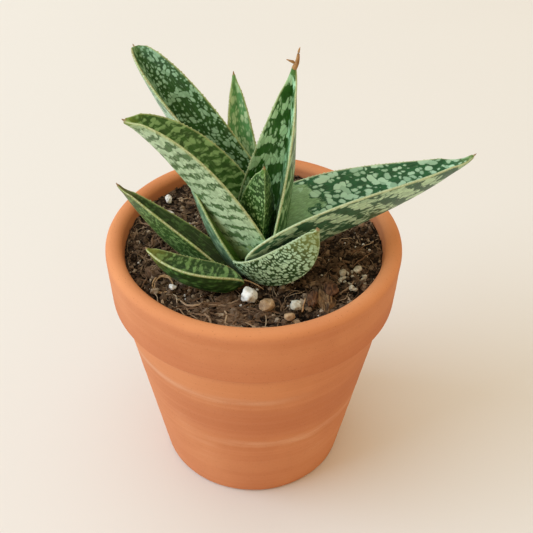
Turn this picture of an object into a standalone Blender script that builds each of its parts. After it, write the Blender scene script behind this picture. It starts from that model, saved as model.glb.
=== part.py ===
"""Young tiger aloe in an 11 cm terracotta pot.

Pieces: pot, soil, short stem, ten keeled leaves, and loose bits on the soil.

Run in Blender 4.5. Sizes below are in millimetres and degrees; the model is made in metres, +Z up.
The pot's axis is vertical, the camera side is -Y. The last step sets the part's box over the origin,
standing on z = 0.
"""

import math
import random
from collections import namedtuple

import bpy
import bmesh
from mathutils import Vector, noise
from mathutils.bvhtree import BVHTree

MM = 0.001
GAP = 0.3                     # clearance between pieces that touch

# pot, outside then inside
POT_HEIGHT = 104.0
RIM_RADIUS = 55.0             # outside, at the lip
BAND_FOOT_RADIUS = 53.8       # outside, at the foot of the rim band
BAND_HEIGHT = 24.0
BODY_TOP_RADIUS = 50.8        # outside, just under the rim band
BASE_RADIUS = 36.7
MOUTH_RADIUS = 48.6           # inside, near the top
INNER_FLOOR_RADIUS = 31.0
FLOOR_THICKNESS = 7.0
FLOOR_ROUND = 3.0             # between floor and wall, inside
DRAIN_RADIUS = 6.0
LIP_OUTER_ROUND = 3.2
LIP_INNER_ROUND = 2.9
BAND_CHAMFER = (1.0, 1.2)      # in and up, at the band's lower edge
BODY_FILLET = (0.5, 1.0)       # out and down, where the body meets the band
BASE_ROUND = 1.6
POT_SIDES = 56

# soil and stem
SOIL_LEVEL = 99.2             # mean height of the soil's surface
SOIL_RELIEF = 0.9
SOIL_MOUND = 0.6              # how much higher the soil stands at the pot's axis
SOIL_RINGS = 14               # rings of the surface, from wall to stem
PRESS_REACH = 2.6             # the soil gives way this far round a leaf
PRESS_EXTRA = 0.15            # beyond GAP
STEM_FOOT = 74.0              # lowest point of the stem, in the soil
STEM_TOP = 100.5
STEM_RADIUS = 5.5
STEM_PLACE = (1.0, -12.5)     # where the stem stands, from the pot's axis
STEM_SIDES = 12
STEM_LEVELS = [(0.0, 0.35), (0.3, 0.62), (0.65, 0.85), (0.88, 1.0), (1.0, 0.82)]     # share of height, width
HOLE_EXTRA = 0.64             # the stem's hole in the soil, beyond the stem's radius and GAP

# leaves
STATION_PITCH = 2.0           # distance between cross-sections along a leaf
TOOTH_HEIGHT = 0.45
MARGIN_THICKNESS = 1.0
SPINE_RADIUS = 0.4
BLADE_END = 0.985             # share of the midrib where the blade gives way to the spine
CHANNEL_FILL = 0.07           # of the wing: flesh over the midrib, between the wings
OUTER_BULGE = 0.06            # of the wing: how far the outer face swells
INNER_HOLLOW = 0.03           # of the wing: how far the inner face sinks
ROUND_FROM = 0.26             # share of full width under which the section turns round

TERRACOTTA_COLOUR = (0.62, 0.24, 0.10, 1.0)
SOIL_COLOUR = (0.035, 0.020, 0.012, 1.0)
STEM_COLOUR = (0.16, 0.11, 0.05, 1.0)
LEAF_COLOUR = (0.07, 0.17, 0.045, 1.0)
PALE_LEAF_COLOUR = (0.20, 0.33, 0.15, 1.0)
PERLITE_COLOUR = (0.78, 0.76, 0.72, 1.0)
STONE_COLOUR = (0.20, 0.13, 0.08, 1.0)
BARK_COLOUR = (0.09, 0.045, 0.025, 1.0)

# A leaf is a folded blade. Its midrib runs from foot, with the compass heading (0 is +X, anticlockwise
# from above) and the rise over the horizon given at its foot, middle and tip. A wing is the widest
# distance from midrib to margin; fold is each wing's angle over the midrib's plane and roll the turn
# about the midrib, at foot and tip. A higher taper keeps the width further towards the tip, and a lower
# point makes the tip blunter. foot_share is the width left at the foot and growth the share of the
# length in which most of the rest is reached. start is where along the midrib the blade begins.
Leaf = namedtuple("Leaf", "name foot heading rise length wing fold roll taper point keel foot_share "
                          "growth start spine")

# Listed from the innermost leaf outwards: each leaf is trimmed by those before it.
LEAVES = [
    Leaf("leaf_heart", (1.5, -14.0, 107.0), (-73, -74, -72), (78, 82, 83), 41.0, 9.5, (41, 46), (0, 3),
         2.5, 0.9, 3.5, 0.8, 0.12, 3.0, 0.4),
    Leaf("leaf_tall", (6.0, -10.0, 102.5), (47, 52, 67), (78, 81, 86), 74.0, 16.0, (46, 50), (-8, 0),
         1.8, 0.9, 6.0, 0.8, 0.12, 6.0, 6.0),
    Leaf("leaf_left", (-2.5, -12.0, 104.0), (174, 177, 191), (63, 57, 34), 70.5, 16.0, (58, 44), (2, -3),
         2.3, 0.7, 3.8, 0.8, 0.12, 0.0, 0.4),
    Leaf("leaf_right", (1.5, -14.5, 100.0), (12, 20, 32), (46, 12, 20), 92.0, 20.5, (53, 46), (-3, -7),
         1.7, 0.9, 6.0, 0.2, 0.03, -2.0, 0.6),
    Leaf("leaf_under_left", (-7.0, -14.0, 101.5), (161, 154, 152), (55, 63, 63), 39.5, 8.0, (44, 47),
         (0, -3), 1.4, 0.9, 3.2, 0.8, 0.12, -3.0, 0.4),
    Leaf("leaf_front_short", (-5.7, -16.2, 104.7), (-54, -12, 1), (-22, 39, 98), 47.2, 12.8, (27, 71),
         (-19, -48), 3.6, 0.9, 2.6, 0.35, 0.12, 1.5, 0.3),
    Leaf("leaf_back_left", (2.0, -4.0, 99.5), (165, 145, 124), (62, 49, 35), 88.5, 15.5, (70, 47), (3, -4),
         3.5, 0.65, 4.2, 0.8, 0.12, -3.0, 0.4),
    Leaf("leaf_back_small", (-1.5, -5.0, 100.5), (104, 103, 102), (66, 66, 65), 65.0, 8.0, (38, 34),
         (0, 0), 2.5, 0.9, 3.0, 0.8, 0.12, -4.0, 0.7),
    Leaf("leaf_front_left", (-3.5, -26.5, 103.5), (192, 170, 147), (2, 16, 35), 37.5, 7.7, (44, 36), (13, 6),
         2.6, 0.8, 4.0, 0.12, 0.12, 0.0, 0.4),
    Leaf("leaf_low_left", (-13.0, -16.5, 100.0), (158, 157, 151), (34, 34, 38), 47.5, 8.0, (48, 52),
         (11, 10), 1.7, 0.9, 4.5, 0.8, 0.12, -4.0, 0.7),
]

# Loose pieces on the soil: name, place from the pot's axis, length, width, height, turn, kind
Bit = namedtuple("Bit", "name place size turn kind")
BITS = [
    Bit("perlite_large", (-1.6, -32.0), (6.0, 6.6, 5.6), 20, "perlite"),
    Bit("stone_round", (4.6, -36.2), (6.4, 5.2, 4.4), 35, "stone"),
    Bit("perlite_grey", (14.5, -36.0), (5.6, 4.4, 3.4), -15, "perlite"),
    Bit("stone_small", (12.5, -41.5), (4.6, 4.0, 3.2), 10, "stone"),
    Bit("bark_curved", (20.5, -33.0), (9.5, 4.6, 3.6), 75, "bark"),
    Bit("bark_upright", (27.0, -28.5), (6.5, 8.5, 4.6), 15, "bark"),
    Bit("perlite_right_a", (32.0, -18.5), (3.6, 3.2, 2.4), 0, "perlite"),
    Bit("perlite_right_b", (37.5, -16.5), (4.2, 3.2, 2.6), 40, "perlite"),
    Bit("perlite_left", (-28.5, -26.0), (3.4, 3.0, 2.4), 0, "perlite"),
    Bit("perlite_back_a", (-33.5, 26.5), (2.6, 5.2, 2.6), 12, "perlite"),
    Bit("perlite_back_b", (-33.0, 17.5), (5.2, 2.8, 2.4), -8, "perlite"),
]
BIT_ROUGHNESS = {"perlite": 0.16, "stone": 0.08, "bark": 0.13}


def clear_scene():
    """Empties the file of objects."""
    for thing in list(bpy.data.objects):
        bpy.data.objects.remove(thing, do_unlink=True)


def collection(name):
    """A new collection in the scene."""
    made = bpy.data.collections.new(name)
    bpy.context.scene.collection.children.link(made)
    return made


def material(name, colour, roughness):
    """A plain surface of one colour."""
    made = bpy.data.materials.new(name)
    made.use_nodes = True
    shader = made.node_tree.nodes["Principled BSDF"]
    shader.inputs["Base Color"].default_value = colour
    shader.inputs["Roughness"].default_value = roughness
    shader.inputs["Metallic"].default_value = 0.0
    made.diffuse_color = colour
    return made


def add_object(name, mesh, home, finish=None):
    """Wraps a mesh in an object of that name, shaded smooth except at sharp edges."""
    thing = bpy.data.objects.new(name, mesh)
    home.objects.link(thing)
    if finish:
        mesh.materials.append(finish)
    mesh.shade_smooth()
    mesh.set_sharp_from_angle(angle=math.radians(35))
    return thing


def loft(name, rings, tip=None):
    """A closed mesh through rings of equal count, in mm; it ends in a cap, or in the point tip."""
    form = bmesh.new()
    made = [[form.verts.new(Vector(p) * MM) for p in ring] for ring in rings]
    count = len(made[0])
    for lower, upper in zip(made, made[1:]):
        for i in range(count):
            j = (i + 1) % count
            form.faces.new((lower[i], lower[j], upper[j]))
            form.faces.new((lower[i], upper[j], upper[i]))
    form.faces.new(list(reversed(made[0])))
    if tip is None:
        form.faces.new(made[-1])
    else:
        point = form.verts.new(Vector(tip) * MM)
        for i in range(count):
            form.faces.new((made[-1][i], made[-1][(i + 1) % count], point))
    bmesh.ops.recalc_face_normals(form, faces=form.faces)
    form.normal_update()
    caps = [f for f in form.faces if len(f.verts) > 3]
    bmesh.ops.triangulate(form, faces=caps, ngon_method="EAR_CLIP")
    mesh = bpy.data.meshes.new(name)
    form.to_mesh(mesh)
    form.free()
    return mesh


def arc(centre, radius, start, end, steps):
    """Points along an arc in the pot's section, angles in degrees from +X."""
    turns = [math.radians(start + (end - start) * i / steps) for i in range(steps + 1)]
    return [(centre[0] + radius * math.cos(t), centre[1] + radius * math.sin(t)) for t in turns]


def pot_wall_inside(height):
    """Inside radius of the pot at a height."""
    foot = FLOOR_THICKNESS + FLOOR_ROUND
    share = (height - foot) / (POT_HEIGHT - LIP_INNER_ROUND - foot)
    return INNER_FLOOR_RADIUS + (MOUTH_RADIUS - INNER_FLOOR_RADIUS) * share


def pot_profile():
    """The wall's section as a closed outline: down the outside, under the base, up the inside."""
    ledge = POT_HEIGHT - BAND_HEIGHT
    lip = arc((RIM_RADIUS - LIP_OUTER_ROUND, POT_HEIGHT - LIP_OUTER_ROUND), LIP_OUTER_ROUND, 90, 0, 4)
    band = [(BAND_FOOT_RADIUS, ledge + BAND_CHAMFER[1]), (BAND_FOOT_RADIUS - BAND_CHAMFER[0], ledge)]
    under_band = [(BODY_TOP_RADIUS + BODY_FILLET[0], ledge), (BODY_TOP_RADIUS, ledge - BODY_FILLET[1])]
    base_edge = arc((BASE_RADIUS - BASE_ROUND, BASE_ROUND), BASE_ROUND, -10, -90, 2)
    drain = [(DRAIN_RADIUS, 0.0), (DRAIN_RADIUS, FLOOR_THICKNESS)]
    floor_turn_centre = (INNER_FLOOR_RADIUS - FLOOR_ROUND, FLOOR_THICKNESS + FLOOR_ROUND)
    floor_turn = arc(floor_turn_centre, FLOOR_ROUND, -90, 0, 2)
    inner_lip_centre = (MOUTH_RADIUS + LIP_INNER_ROUND, POT_HEIGHT - LIP_INNER_ROUND)
    inner_lip = arc(inner_lip_centre, LIP_INNER_ROUND, 180, 90, 4)
    return lip + band + under_band + base_edge + drain + floor_turn + inner_lip


def make_pot(home, finish):
    """The pot: its section turned about the axis."""
    points = pot_profile()
    mesh = bpy.data.meshes.new("terracotta_pot")
    edges = [(i, (i + 1) % len(points)) for i in range(len(points))]
    mesh.from_pydata([(x * MM, 0.0, z * MM) for x, z in points], edges, [])
    pot = add_object("terracotta_pot", mesh, home, finish)
    turn = pot.modifiers.new("turned", "SCREW")
    turn.angle = math.radians(360)
    turn.steps = POT_SIDES
    turn.render_steps = POT_SIDES
    turn.use_merge_vertices = True
    turn.merge_threshold = 0.00001
    turn.use_smooth_shade = True
    return pot


def blend(values, share):
    """A value that passes through the three given ones at share 0, 1/2 and 1."""
    foot, middle, tip = values
    ends = foot * (1 - share) * (1 - 2 * share) + tip * share * (2 * share - 1)
    return ends + middle * 4 * share * (1 - share)


def mix(pair, share):
    """Straight blend of two values."""
    return pair[0] + (pair[1] - pair[0]) * share


def heading_vectors(leaf, share):
    """Unit vectors along the midrib, and square to it upwards, before the roll."""
    course = math.radians(blend(leaf.heading, share))
    climb = math.radians(blend(leaf.rise, share))
    level = Vector((math.cos(course), math.sin(course), 0.0))
    along = level * math.cos(climb) + Vector((0, 0, math.sin(climb)))
    up = level * -math.sin(climb) + Vector((0, 0, math.cos(climb)))
    return along, up


def leaf_frames(leaf):
    """(share, point, along, side, up) at each cross-section, from the blade's start to its tip."""
    fine = 200
    points = [Vector(leaf.foot)]
    for i in range(fine):
        along, _ = heading_vectors(leaf, (i + 0.5) / fine)
        points.append(points[-1] + along * leaf.length / fine)
    count = max(8, round((leaf.length - leaf.start) / STATION_PITCH))
    frames = []
    for i in range(count + 1):
        share = (leaf.start + (leaf.length * BLADE_END - leaf.start) * i / count) / leaf.length
        held = min(max(share, 0.0), 1.0)
        along, up = heading_vectors(leaf, held)
        whole = min(int(held * fine), fine - 1)
        point = points[whole].lerp(points[whole + 1], held * fine - whole)
        point = point + along * (share - held) * leaf.length
        roll = math.radians(mix(leaf.roll, held))
        across = along.cross(up)
        turned_up = up * math.cos(roll) + across * math.sin(roll)
        frames.append((share, point, along, along.cross(turned_up), turned_up))
    return frames


def leaf_width(leaf, share):
    """Width at a share of the length, against the widest."""
    held = min(max(share, 0.0), 1.0)
    grown = leaf.foot_share + (1 - leaf.foot_share) * (1 - math.exp(-held / leaf.growth))
    return (1 - held ** leaf.taper) ** leaf.point * grown


def leaf_section(leaf, frame, tooth, grow):
    """The cross-section's ten points: keel, outer faces, margins and the channel between them.

    They are worked out as distances across and up from the midrib. Towards the tip the folded
    section turns into a small round one, which carries the spine.
    """
    share, point, _, side, up = frame
    width = leaf_width(leaf, share)
    fold = math.radians(mix(leaf.fold, min(max(share, 0.0), 1.0)))
    wing = leaf.wing * width + tooth * min(1.0, width * 3) + grow
    half_edge = MARGIN_THICKNESS / 2 * min(1.0, 0.55 + width) + grow
    keel = -leaf.keel * min(1.0, width * 1.3) - grow * 1.4
    channel = CHANNEL_FILL * leaf.wing * width + grow * 1.4
    out = (math.cos(fold), math.sin(fold))
    under = (wing * out[0] + half_edge * out[1], wing * out[1] - half_edge * out[0])
    over = (max(wing * out[0] - half_edge * out[1], 0.12), wing * out[1] + half_edge * out[0])
    over = (over[0], max(over[1], channel + 0.1))
    bulge = OUTER_BULGE * leaf.wing * width
    outer = (mix((0.0, under[0]), 0.5) + bulge * out[1], mix((keel, under[1]), 0.5) - bulge * out[0])
    hollow = INNER_HOLLOW * leaf.wing * width
    inner = (max(over[0] * 0.45 + hollow * out[1], 0.06), mix((channel, over[1]), 0.45) - hollow * out[0])
    flat = [(0.0, keel), outer, under, over, inner, (0.0, channel)]
    flat += [(-x, z) for x, z in (inner, over, under, outer)]
    roundness = min(max((ROUND_FROM - width) / 0.2, 0.0), 1.0)
    radius = SPINE_RADIUS + 0.45 * leaf.wing * width + grow
    ring = []
    for i, (x, z) in enumerate(flat):
        turn = 2 * math.pi * i / len(flat) - math.pi / 2
        x = mix((x, radius * math.cos(turn)), roundness)
        z = mix((z, radius * math.sin(turn)), roundness)
        ring.append(point + side * x + up * z)
    return ring


def leaf_mesh(leaf, grow=0.0):
    """One leaf as a closed mesh with toothed margins and a short spine; grow swells it into a cutter."""
    frames = leaf_frames(leaf)
    rings = []
    for i, frame in enumerate(frames):
        tooth = TOOTH_HEIGHT if grow or i % 2 else 0.0
        rings.append(leaf_section(leaf, frame, tooth, grow))
    if grow:
        _, _, along, _, _ = frames[0]
        rings[0] = [p - along * grow for p in rings[0]]
    _, last, along, side, up = frames[-1]
    radius = SPINE_RADIUS + grow
    reach = leaf.spine + leaf.length * (1 - BLADE_END)
    spine_ring = []
    count = len(rings[-1])
    for i in range(count):
        turn = 2 * math.pi * i / count - math.pi / 2
        across = side * (radius * math.cos(turn)) + up * (radius * math.sin(turn))
        spine_ring.append(last + along * reach * 0.5 + across)
    rings.append(spine_ring)
    tip = last + along * (reach + grow) + up * (0.12 * leaf.spine)
    return loft(leaf.name, rings, tip)


def evaluated_copy(thing):
    """The object's mesh with its modifiers, as a new mesh."""
    bpy.context.view_layer.update()
    graph = bpy.context.evaluated_depsgraph_get()
    return bpy.data.meshes.new_from_object(thing.evaluated_get(graph))


def keep_largest_body(mesh):
    """Drops the scraps that a trim leaves: only the body with most area stays."""
    form = bmesh.new()
    form.from_mesh(mesh)
    left = set(form.faces)
    bodies = []
    while left:
        heap = [left.pop()]
        body = set(heap)
        while heap:
            face = heap.pop()
            for edge in face.edges:
                for other in edge.link_faces:
                    if other in left:
                        left.remove(other)
                        body.add(other)
                        heap.append(other)
        bodies.append(body)
    best = max(bodies, key=lambda faces: sum(f.calc_area() for f in faces))
    bmesh.ops.delete(form, geom=[f for f in form.faces if f not in best], context="FACES")
    bmesh.ops.dissolve_degenerate(form, dist=0.000002, edges=form.edges)
    bmesh.ops.triangulate(form, faces=form.faces)
    form.to_mesh(mesh)
    form.free()


def box_of(thing):
    """Lowest and highest corners of an object's mesh."""
    spots = [thing.matrix_world @ v.co for v in thing.data.vertices]
    low = Vector([min(p[k] for p in spots) for k in range(3)])
    high = Vector([max(p[k] for p in spots) for k in range(3)])
    return low, high


def boxes_meet(first, second):
    """Whether two boxes overlap."""
    return all(first[0][k] < second[1][k] and second[0][k] < first[1][k] for k in range(3))


def trim(thing, cutters):
    """Cuts the thing by every cutter whose box meets its own."""
    own = box_of(thing)
    for cutter in cutters:
        if boxes_meet(own, box_of(cutter)):
            cut = thing.modifiers.new("trim_" + cutter.name, "BOOLEAN")
            cut.operation = "DIFFERENCE"
            cut.solver = "MANIFOLD"      # EXACT loses some of these thin blades
            cut.object = cutter
    if not thing.modifiers:
        return
    mesh = evaluated_copy(thing)
    thing.modifiers.clear()
    keep_largest_body(mesh)
    thing.data = mesh


def make_stem(home, finish, grow=0.0):
    """The short stem: a tapering stock in the soil, just showing above it."""
    rings = []
    for share, wide in STEM_LEVELS:
        height = mix((STEM_FOOT - grow, STEM_TOP + grow), share)
        ring = []
        for i in range(STEM_SIDES):
            turn = 2 * math.pi * i / STEM_SIDES
            radius = STEM_RADIUS * wide * (1 + 0.06 * math.sin(3 * turn + 4 * share)) + grow
            x = STEM_PLACE[0] + radius * math.cos(turn)
            y = STEM_PLACE[1] + radius * math.sin(turn)
            ring.append((x, y, height))
        rings.append(ring)
    name = "aloe_stem" if finish else "stem_cutter"
    return add_object(name, loft(name, rings), home, finish)


def make_leaves(home, cutters, finishes, stem_cutter):
    """All leaves, each trimmed by the stem and by the leaves inside it."""
    placed = [stem_cutter]
    made = []
    for leaf in LEAVES:
        finish = finishes["pale"] if leaf.name in ("leaf_left", "leaf_front_short") else finishes["green"]
        thing = add_object(leaf.name, leaf_mesh(leaf), home, finish)
        trim(thing, placed)
        made.append(thing)
        cutter = add_object(leaf.name + "_cutter", leaf_mesh(leaf, GAP), cutters)
        cutter.hide_render = True
        cutter.display_type = "WIRE"
        placed.append(cutter)
    return made


def lowest_over(trees, x, y, reach):
    """The lowest point of the leaves over a spot and its surroundings, in mm, or None."""
    found = None
    for ring, count in ((0.0, 1), (0.5, 6), (1.0, 10)):
        for i in range(count):
            turn = 2 * math.pi * i / count
            start = Vector((x + reach * ring * math.cos(turn), y + reach * ring * math.sin(turn), 60.0)) * MM
            for tree in trees:
                hit = tree.ray_cast(start, Vector((0, 0, 1)), 0.08)[0]
                if hit is not None and (found is None or hit.z / MM < found):
                    found = hit.z / MM
    return found


def soil_height(x, y):
    """The soil's surface: a slight mound with crumbs and hollows."""
    spread = noise.noise(Vector((x / 16.0, y / 16.0, 3.7)))
    crumbs = noise.noise(Vector((x / 4.5, y / 4.5, 9.1)))
    grit = noise.noise(Vector((x / 2.2, y / 2.2, 5.3)))
    from_axis = math.hypot(x, y) / MOUTH_RADIUS
    relief = SOIL_RELIEF * (0.9 * spread + 0.9 * crumbs + 0.5 * grit)
    return SOIL_LEVEL + relief + SOIL_MOUND * (1 - from_axis)


def make_soil(home, finish, things):
    """The soil: it fills the pot to near the lip, dips under the leaves and has a hole for the stem."""
    trees = []
    for thing in things:
        form = bmesh.new()
        form.from_mesh(thing.data)
        trees.append(BVHTree.FromBMesh(form))
        form.free()
    top_radius = pot_wall_inside(SOIL_LEVEL) - GAP
    hole = STEM_RADIUS + GAP + HOLE_EXTRA
    rings = []
    base = FLOOR_THICKNESS + GAP
    turned = base + FLOOR_ROUND
    floor_radius = pot_wall_inside(turned) - GAP - FLOOR_ROUND

    def ring_at(radius, centre, height):
        made = []
        for i in range(POT_SIDES):
            turn = 2 * math.pi * i / POT_SIDES
            x = centre[0] + radius * math.cos(turn)
            y = centre[1] + radius * math.sin(turn)
            z = height(x, y) if callable(height) else height
            made.append((x, y, z))
        return made

    def pressed(x, y):
        height = soil_height(x, y)
        over = lowest_over(trees, x, y, PRESS_REACH)
        return height if over is None else min(height, over - GAP - PRESS_EXTRA)

    rings.append(ring_at(floor_radius, (0, 0), base))
    rings.append(ring_at(pot_wall_inside(turned) - GAP, (0, 0), turned))
    rings.append(ring_at(top_radius, (0, 0), soil_height))
    for i in range(1, SOIL_RINGS + 1):
        share = i / SOIL_RINGS
        radius = mix((top_radius, hole), share)
        centre = (STEM_PLACE[0] * share, STEM_PLACE[1] * share)
        rings.append(ring_at(radius, centre, pressed))
    rings.append(ring_at(hole * 0.62, STEM_PLACE, STEM_FOOT - GAP))
    return add_object("potting_soil", loft("potting_soil", rings), home, finish)


def bit_mesh(bit, seed):
    """A rough lump of the bit's size: a faceted ball whose points move in and out."""
    draw = random.Random(seed)
    form = bmesh.new()
    bmesh.ops.create_icosphere(form, subdivisions=2 if max(bit.size) > 5 else 1, radius=0.5)
    offset = Vector((draw.uniform(0, 50), draw.uniform(0, 50), draw.uniform(0, 50)))
    rough = BIT_ROUGHNESS[bit.kind]
    turn = math.radians(bit.turn)
    for vert in form.verts:
        push = 1 + rough * 2.2 * noise.noise(vert.co * 3.1 + offset)
        if bit.kind == "bark":
            push *= 1 - 0.25 * abs(math.sin(9 * vert.co.x))
        p = Vector([vert.co[k] * push * bit.size[k] for k in range(3)])
        x = p.x * math.cos(turn) - p.y * math.sin(turn)
        y = p.x * math.sin(turn) + p.y * math.cos(turn)
        vert.co = Vector((x, y, p.z))
    bmesh.ops.recalc_face_normals(form, faces=form.faces)
    mesh = bpy.data.meshes.new(bit.name)
    form.to_mesh(mesh)
    form.free()
    return mesh


def make_bits(home, finishes, soil):
    """Each loose piece lowered until it lies just clear of the soil under it."""
    grown = bmesh.new()
    grown.from_mesh(soil.data)
    ground = BVHTree.FromBMesh(grown)
    grown.free()
    for number, bit in enumerate(BITS):
        mesh = bit_mesh(bit, number + 11)
        x, y = bit.place
        drop = None
        for vert in mesh.vertices:
            start = Vector((vert.co.x + x, vert.co.y + y, 130.0)) * MM
            hit = ground.ray_cast(start, Vector((0, 0, -1)), 0.1)[0]
            if hit is not None:
                lift = hit.z / MM - vert.co.z
                drop = lift if drop is None else max(drop, lift)
        for vert in mesh.vertices:
            vert.co = Vector((vert.co.x + x, vert.co.y + y, vert.co.z + drop + GAP)) * MM
        add_object(bit.name, mesh, home, finishes[bit.kind])


def centre_over_origin(home, cutters):
    """Moves every mesh so that the whole part's box stands centred on the origin."""
    graph = bpy.context.evaluated_depsgraph_get()
    low = Vector((1e9, 1e9, 1e9))
    high = Vector((-1e9, -1e9, -1e9))
    for thing in home.objects:
        shown = thing.evaluated_get(graph)
        for corner in shown.bound_box:
            low = Vector(map(min, low, corner))
            high = Vector(map(max, high, corner))
    shift = Vector((-(low.x + high.x) / 2, -(low.y + high.y) / 2, -low.z))
    for thing in list(home.objects) + list(cutters.objects):
        thing.location = shift


def main():
    clear_scene()
    home = collection("potted_tiger_aloe")
    cutters = collection("cutters")
    finishes = {
        "green": material("leaf_green", LEAF_COLOUR, 0.42),
        "pale": material("leaf_pale_green", PALE_LEAF_COLOUR, 0.42),
        "perlite": material("perlite", PERLITE_COLOUR, 0.9),
        "stone": material("brown_stone", STONE_COLOUR, 0.7),
        "bark": material("bark", BARK_COLOUR, 0.8),
    }
    make_pot(home, material("terracotta", TERRACOTTA_COLOUR, 0.85))
    stem_cutter = make_stem(cutters, None, GAP)
    stem_cutter.hide_render = True
    stem_cutter.display_type = "WIRE"
    make_stem(home, material("stem", STEM_COLOUR, 0.8))
    leaves = make_leaves(home, cutters, finishes, stem_cutter)
    soil = make_soil(home, material("soil", SOIL_COLOUR, 0.95), leaves)
    make_bits(home, finishes, soil)
    centre_over_origin(home, cutters)


main()
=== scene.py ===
import math
import random
from collections import namedtuple

import bpy
import bmesh
import numpy as np
from mathutils import Matrix, Vector, noise
from mathutils.bvhtree import BVHTree


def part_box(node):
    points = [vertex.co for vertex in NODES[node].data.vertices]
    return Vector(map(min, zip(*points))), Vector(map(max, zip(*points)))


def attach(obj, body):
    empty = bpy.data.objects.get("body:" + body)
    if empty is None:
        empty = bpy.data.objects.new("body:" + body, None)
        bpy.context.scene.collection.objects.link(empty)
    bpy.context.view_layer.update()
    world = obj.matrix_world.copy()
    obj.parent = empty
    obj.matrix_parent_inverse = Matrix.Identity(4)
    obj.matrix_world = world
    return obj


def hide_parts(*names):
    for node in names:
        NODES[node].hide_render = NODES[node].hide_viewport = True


MM = 0.001
SEAM_GAP = 0.000001       # points closer than this, in metres, are one
CORNER_GAP = 0.00001      # the same, for the loose triangles of a solid

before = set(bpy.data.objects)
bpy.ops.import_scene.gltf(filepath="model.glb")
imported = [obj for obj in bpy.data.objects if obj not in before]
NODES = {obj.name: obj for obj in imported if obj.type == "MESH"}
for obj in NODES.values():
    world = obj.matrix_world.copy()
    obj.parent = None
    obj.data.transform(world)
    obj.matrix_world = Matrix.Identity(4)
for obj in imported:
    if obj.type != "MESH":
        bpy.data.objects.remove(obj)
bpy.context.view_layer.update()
POT_LOW, POT_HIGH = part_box("terracotta_pot")
AXIS_X = (POT_LOW[0] + POT_HIGH[0]) / 2
AXIS_Y = (POT_LOW[1] + POT_HIGH[1]) / 2


# Workshop helpers

def let_go():
    """Nothing stays selected."""
    if bpy.context.object and bpy.context.object.mode != "OBJECT":
        bpy.ops.object.mode_set(mode="OBJECT")
    bpy.ops.object.select_all(action="DESELECT")


def take(piece):
    """Only this piece is selected and active."""
    let_go()
    piece.select_set(True)
    bpy.context.view_layer.objects.active = piece


def from_axis(x, y, z):
    """A place measured in mm from the pot's axis and base, as a place in metres."""
    return Vector((AXIS_X + x * MM, AXIS_Y + y * MM, z * MM))


def points_of(mesh):
    """The mesh's points as an array, one row each."""
    spots = np.empty(len(mesh.vertices) * 3)
    mesh.vertices.foreach_get("co", spots)
    return spots.reshape(-1, 3)


def soften(piece, angle=60):
    """Smooth shading, with edges over the angle left crisp."""
    take(piece)
    bpy.ops.object.shade_smooth_by_angle(angle=math.radians(angle))


def wrap_grid(name, rows):
    """A grid rolled up, with its points at rows[row][column]. The last column meets the first.

    Gives the skin, and the row and the column of each of its points.
    """
    placed = np.array(rows)
    along, around = placed.shape[0] - 1, placed.shape[1] - 1
    let_go()
    bpy.ops.mesh.primitive_grid_add(x_subdivisions=along, y_subdivisions=around, size=1.0)
    skin = bpy.context.object
    skin.name = name
    spots = points_of(skin.data)
    row = np.rint((spots[:, 0] + 0.5) * along).astype(int)
    column = np.rint((spots[:, 1] + 0.5) * around).astype(int)
    skin.data.vertices.foreach_set("co", placed[row, column].ravel())
    return skin, row, column


def close_up(skin):
    """Joins the seam, fills what is left open and turns the faces outwards."""
    take(skin)
    bpy.ops.object.mode_set(mode="EDIT")
    bpy.ops.mesh.select_all(action="SELECT")
    bpy.ops.mesh.remove_doubles(threshold=SEAM_GAP)
    bpy.ops.mesh.select_all(action="DESELECT")
    bpy.ops.mesh.select_non_manifold()
    bpy.ops.mesh.fill()
    bpy.ops.mesh.select_all(action="SELECT")
    bpy.ops.mesh.normals_make_consistent(inside=False)
    bpy.ops.object.mode_set(mode="OBJECT")


def roll_up(name, rows):
    """A closed, smoothly shaded piece over the rows of points."""
    piece = wrap_grid(name, rows)[0]
    close_up(piece)
    soften(piece)
    return piece


def complete(piece, material, slot, *nodes):
    """The piece takes its material, rides on the root and stands for the nodes. The slot is not used."""
    piece.data.materials.clear()
    piece.data.materials.append(material)
    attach(piece, "root")
    if nodes:
        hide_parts(*nodes)


# Finishes

def paint(red, green, blue):
    """A colour given as seen on a screen, 0 to 255, for a material's socket."""
    straight = []
    for part in (red, green, blue):
        share = part / 255
        straight.append(share / 12.92 if share <= 0.04045 else ((share + 0.055) / 1.055) ** 2.4)
    return (*straight, 1.0)


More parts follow.
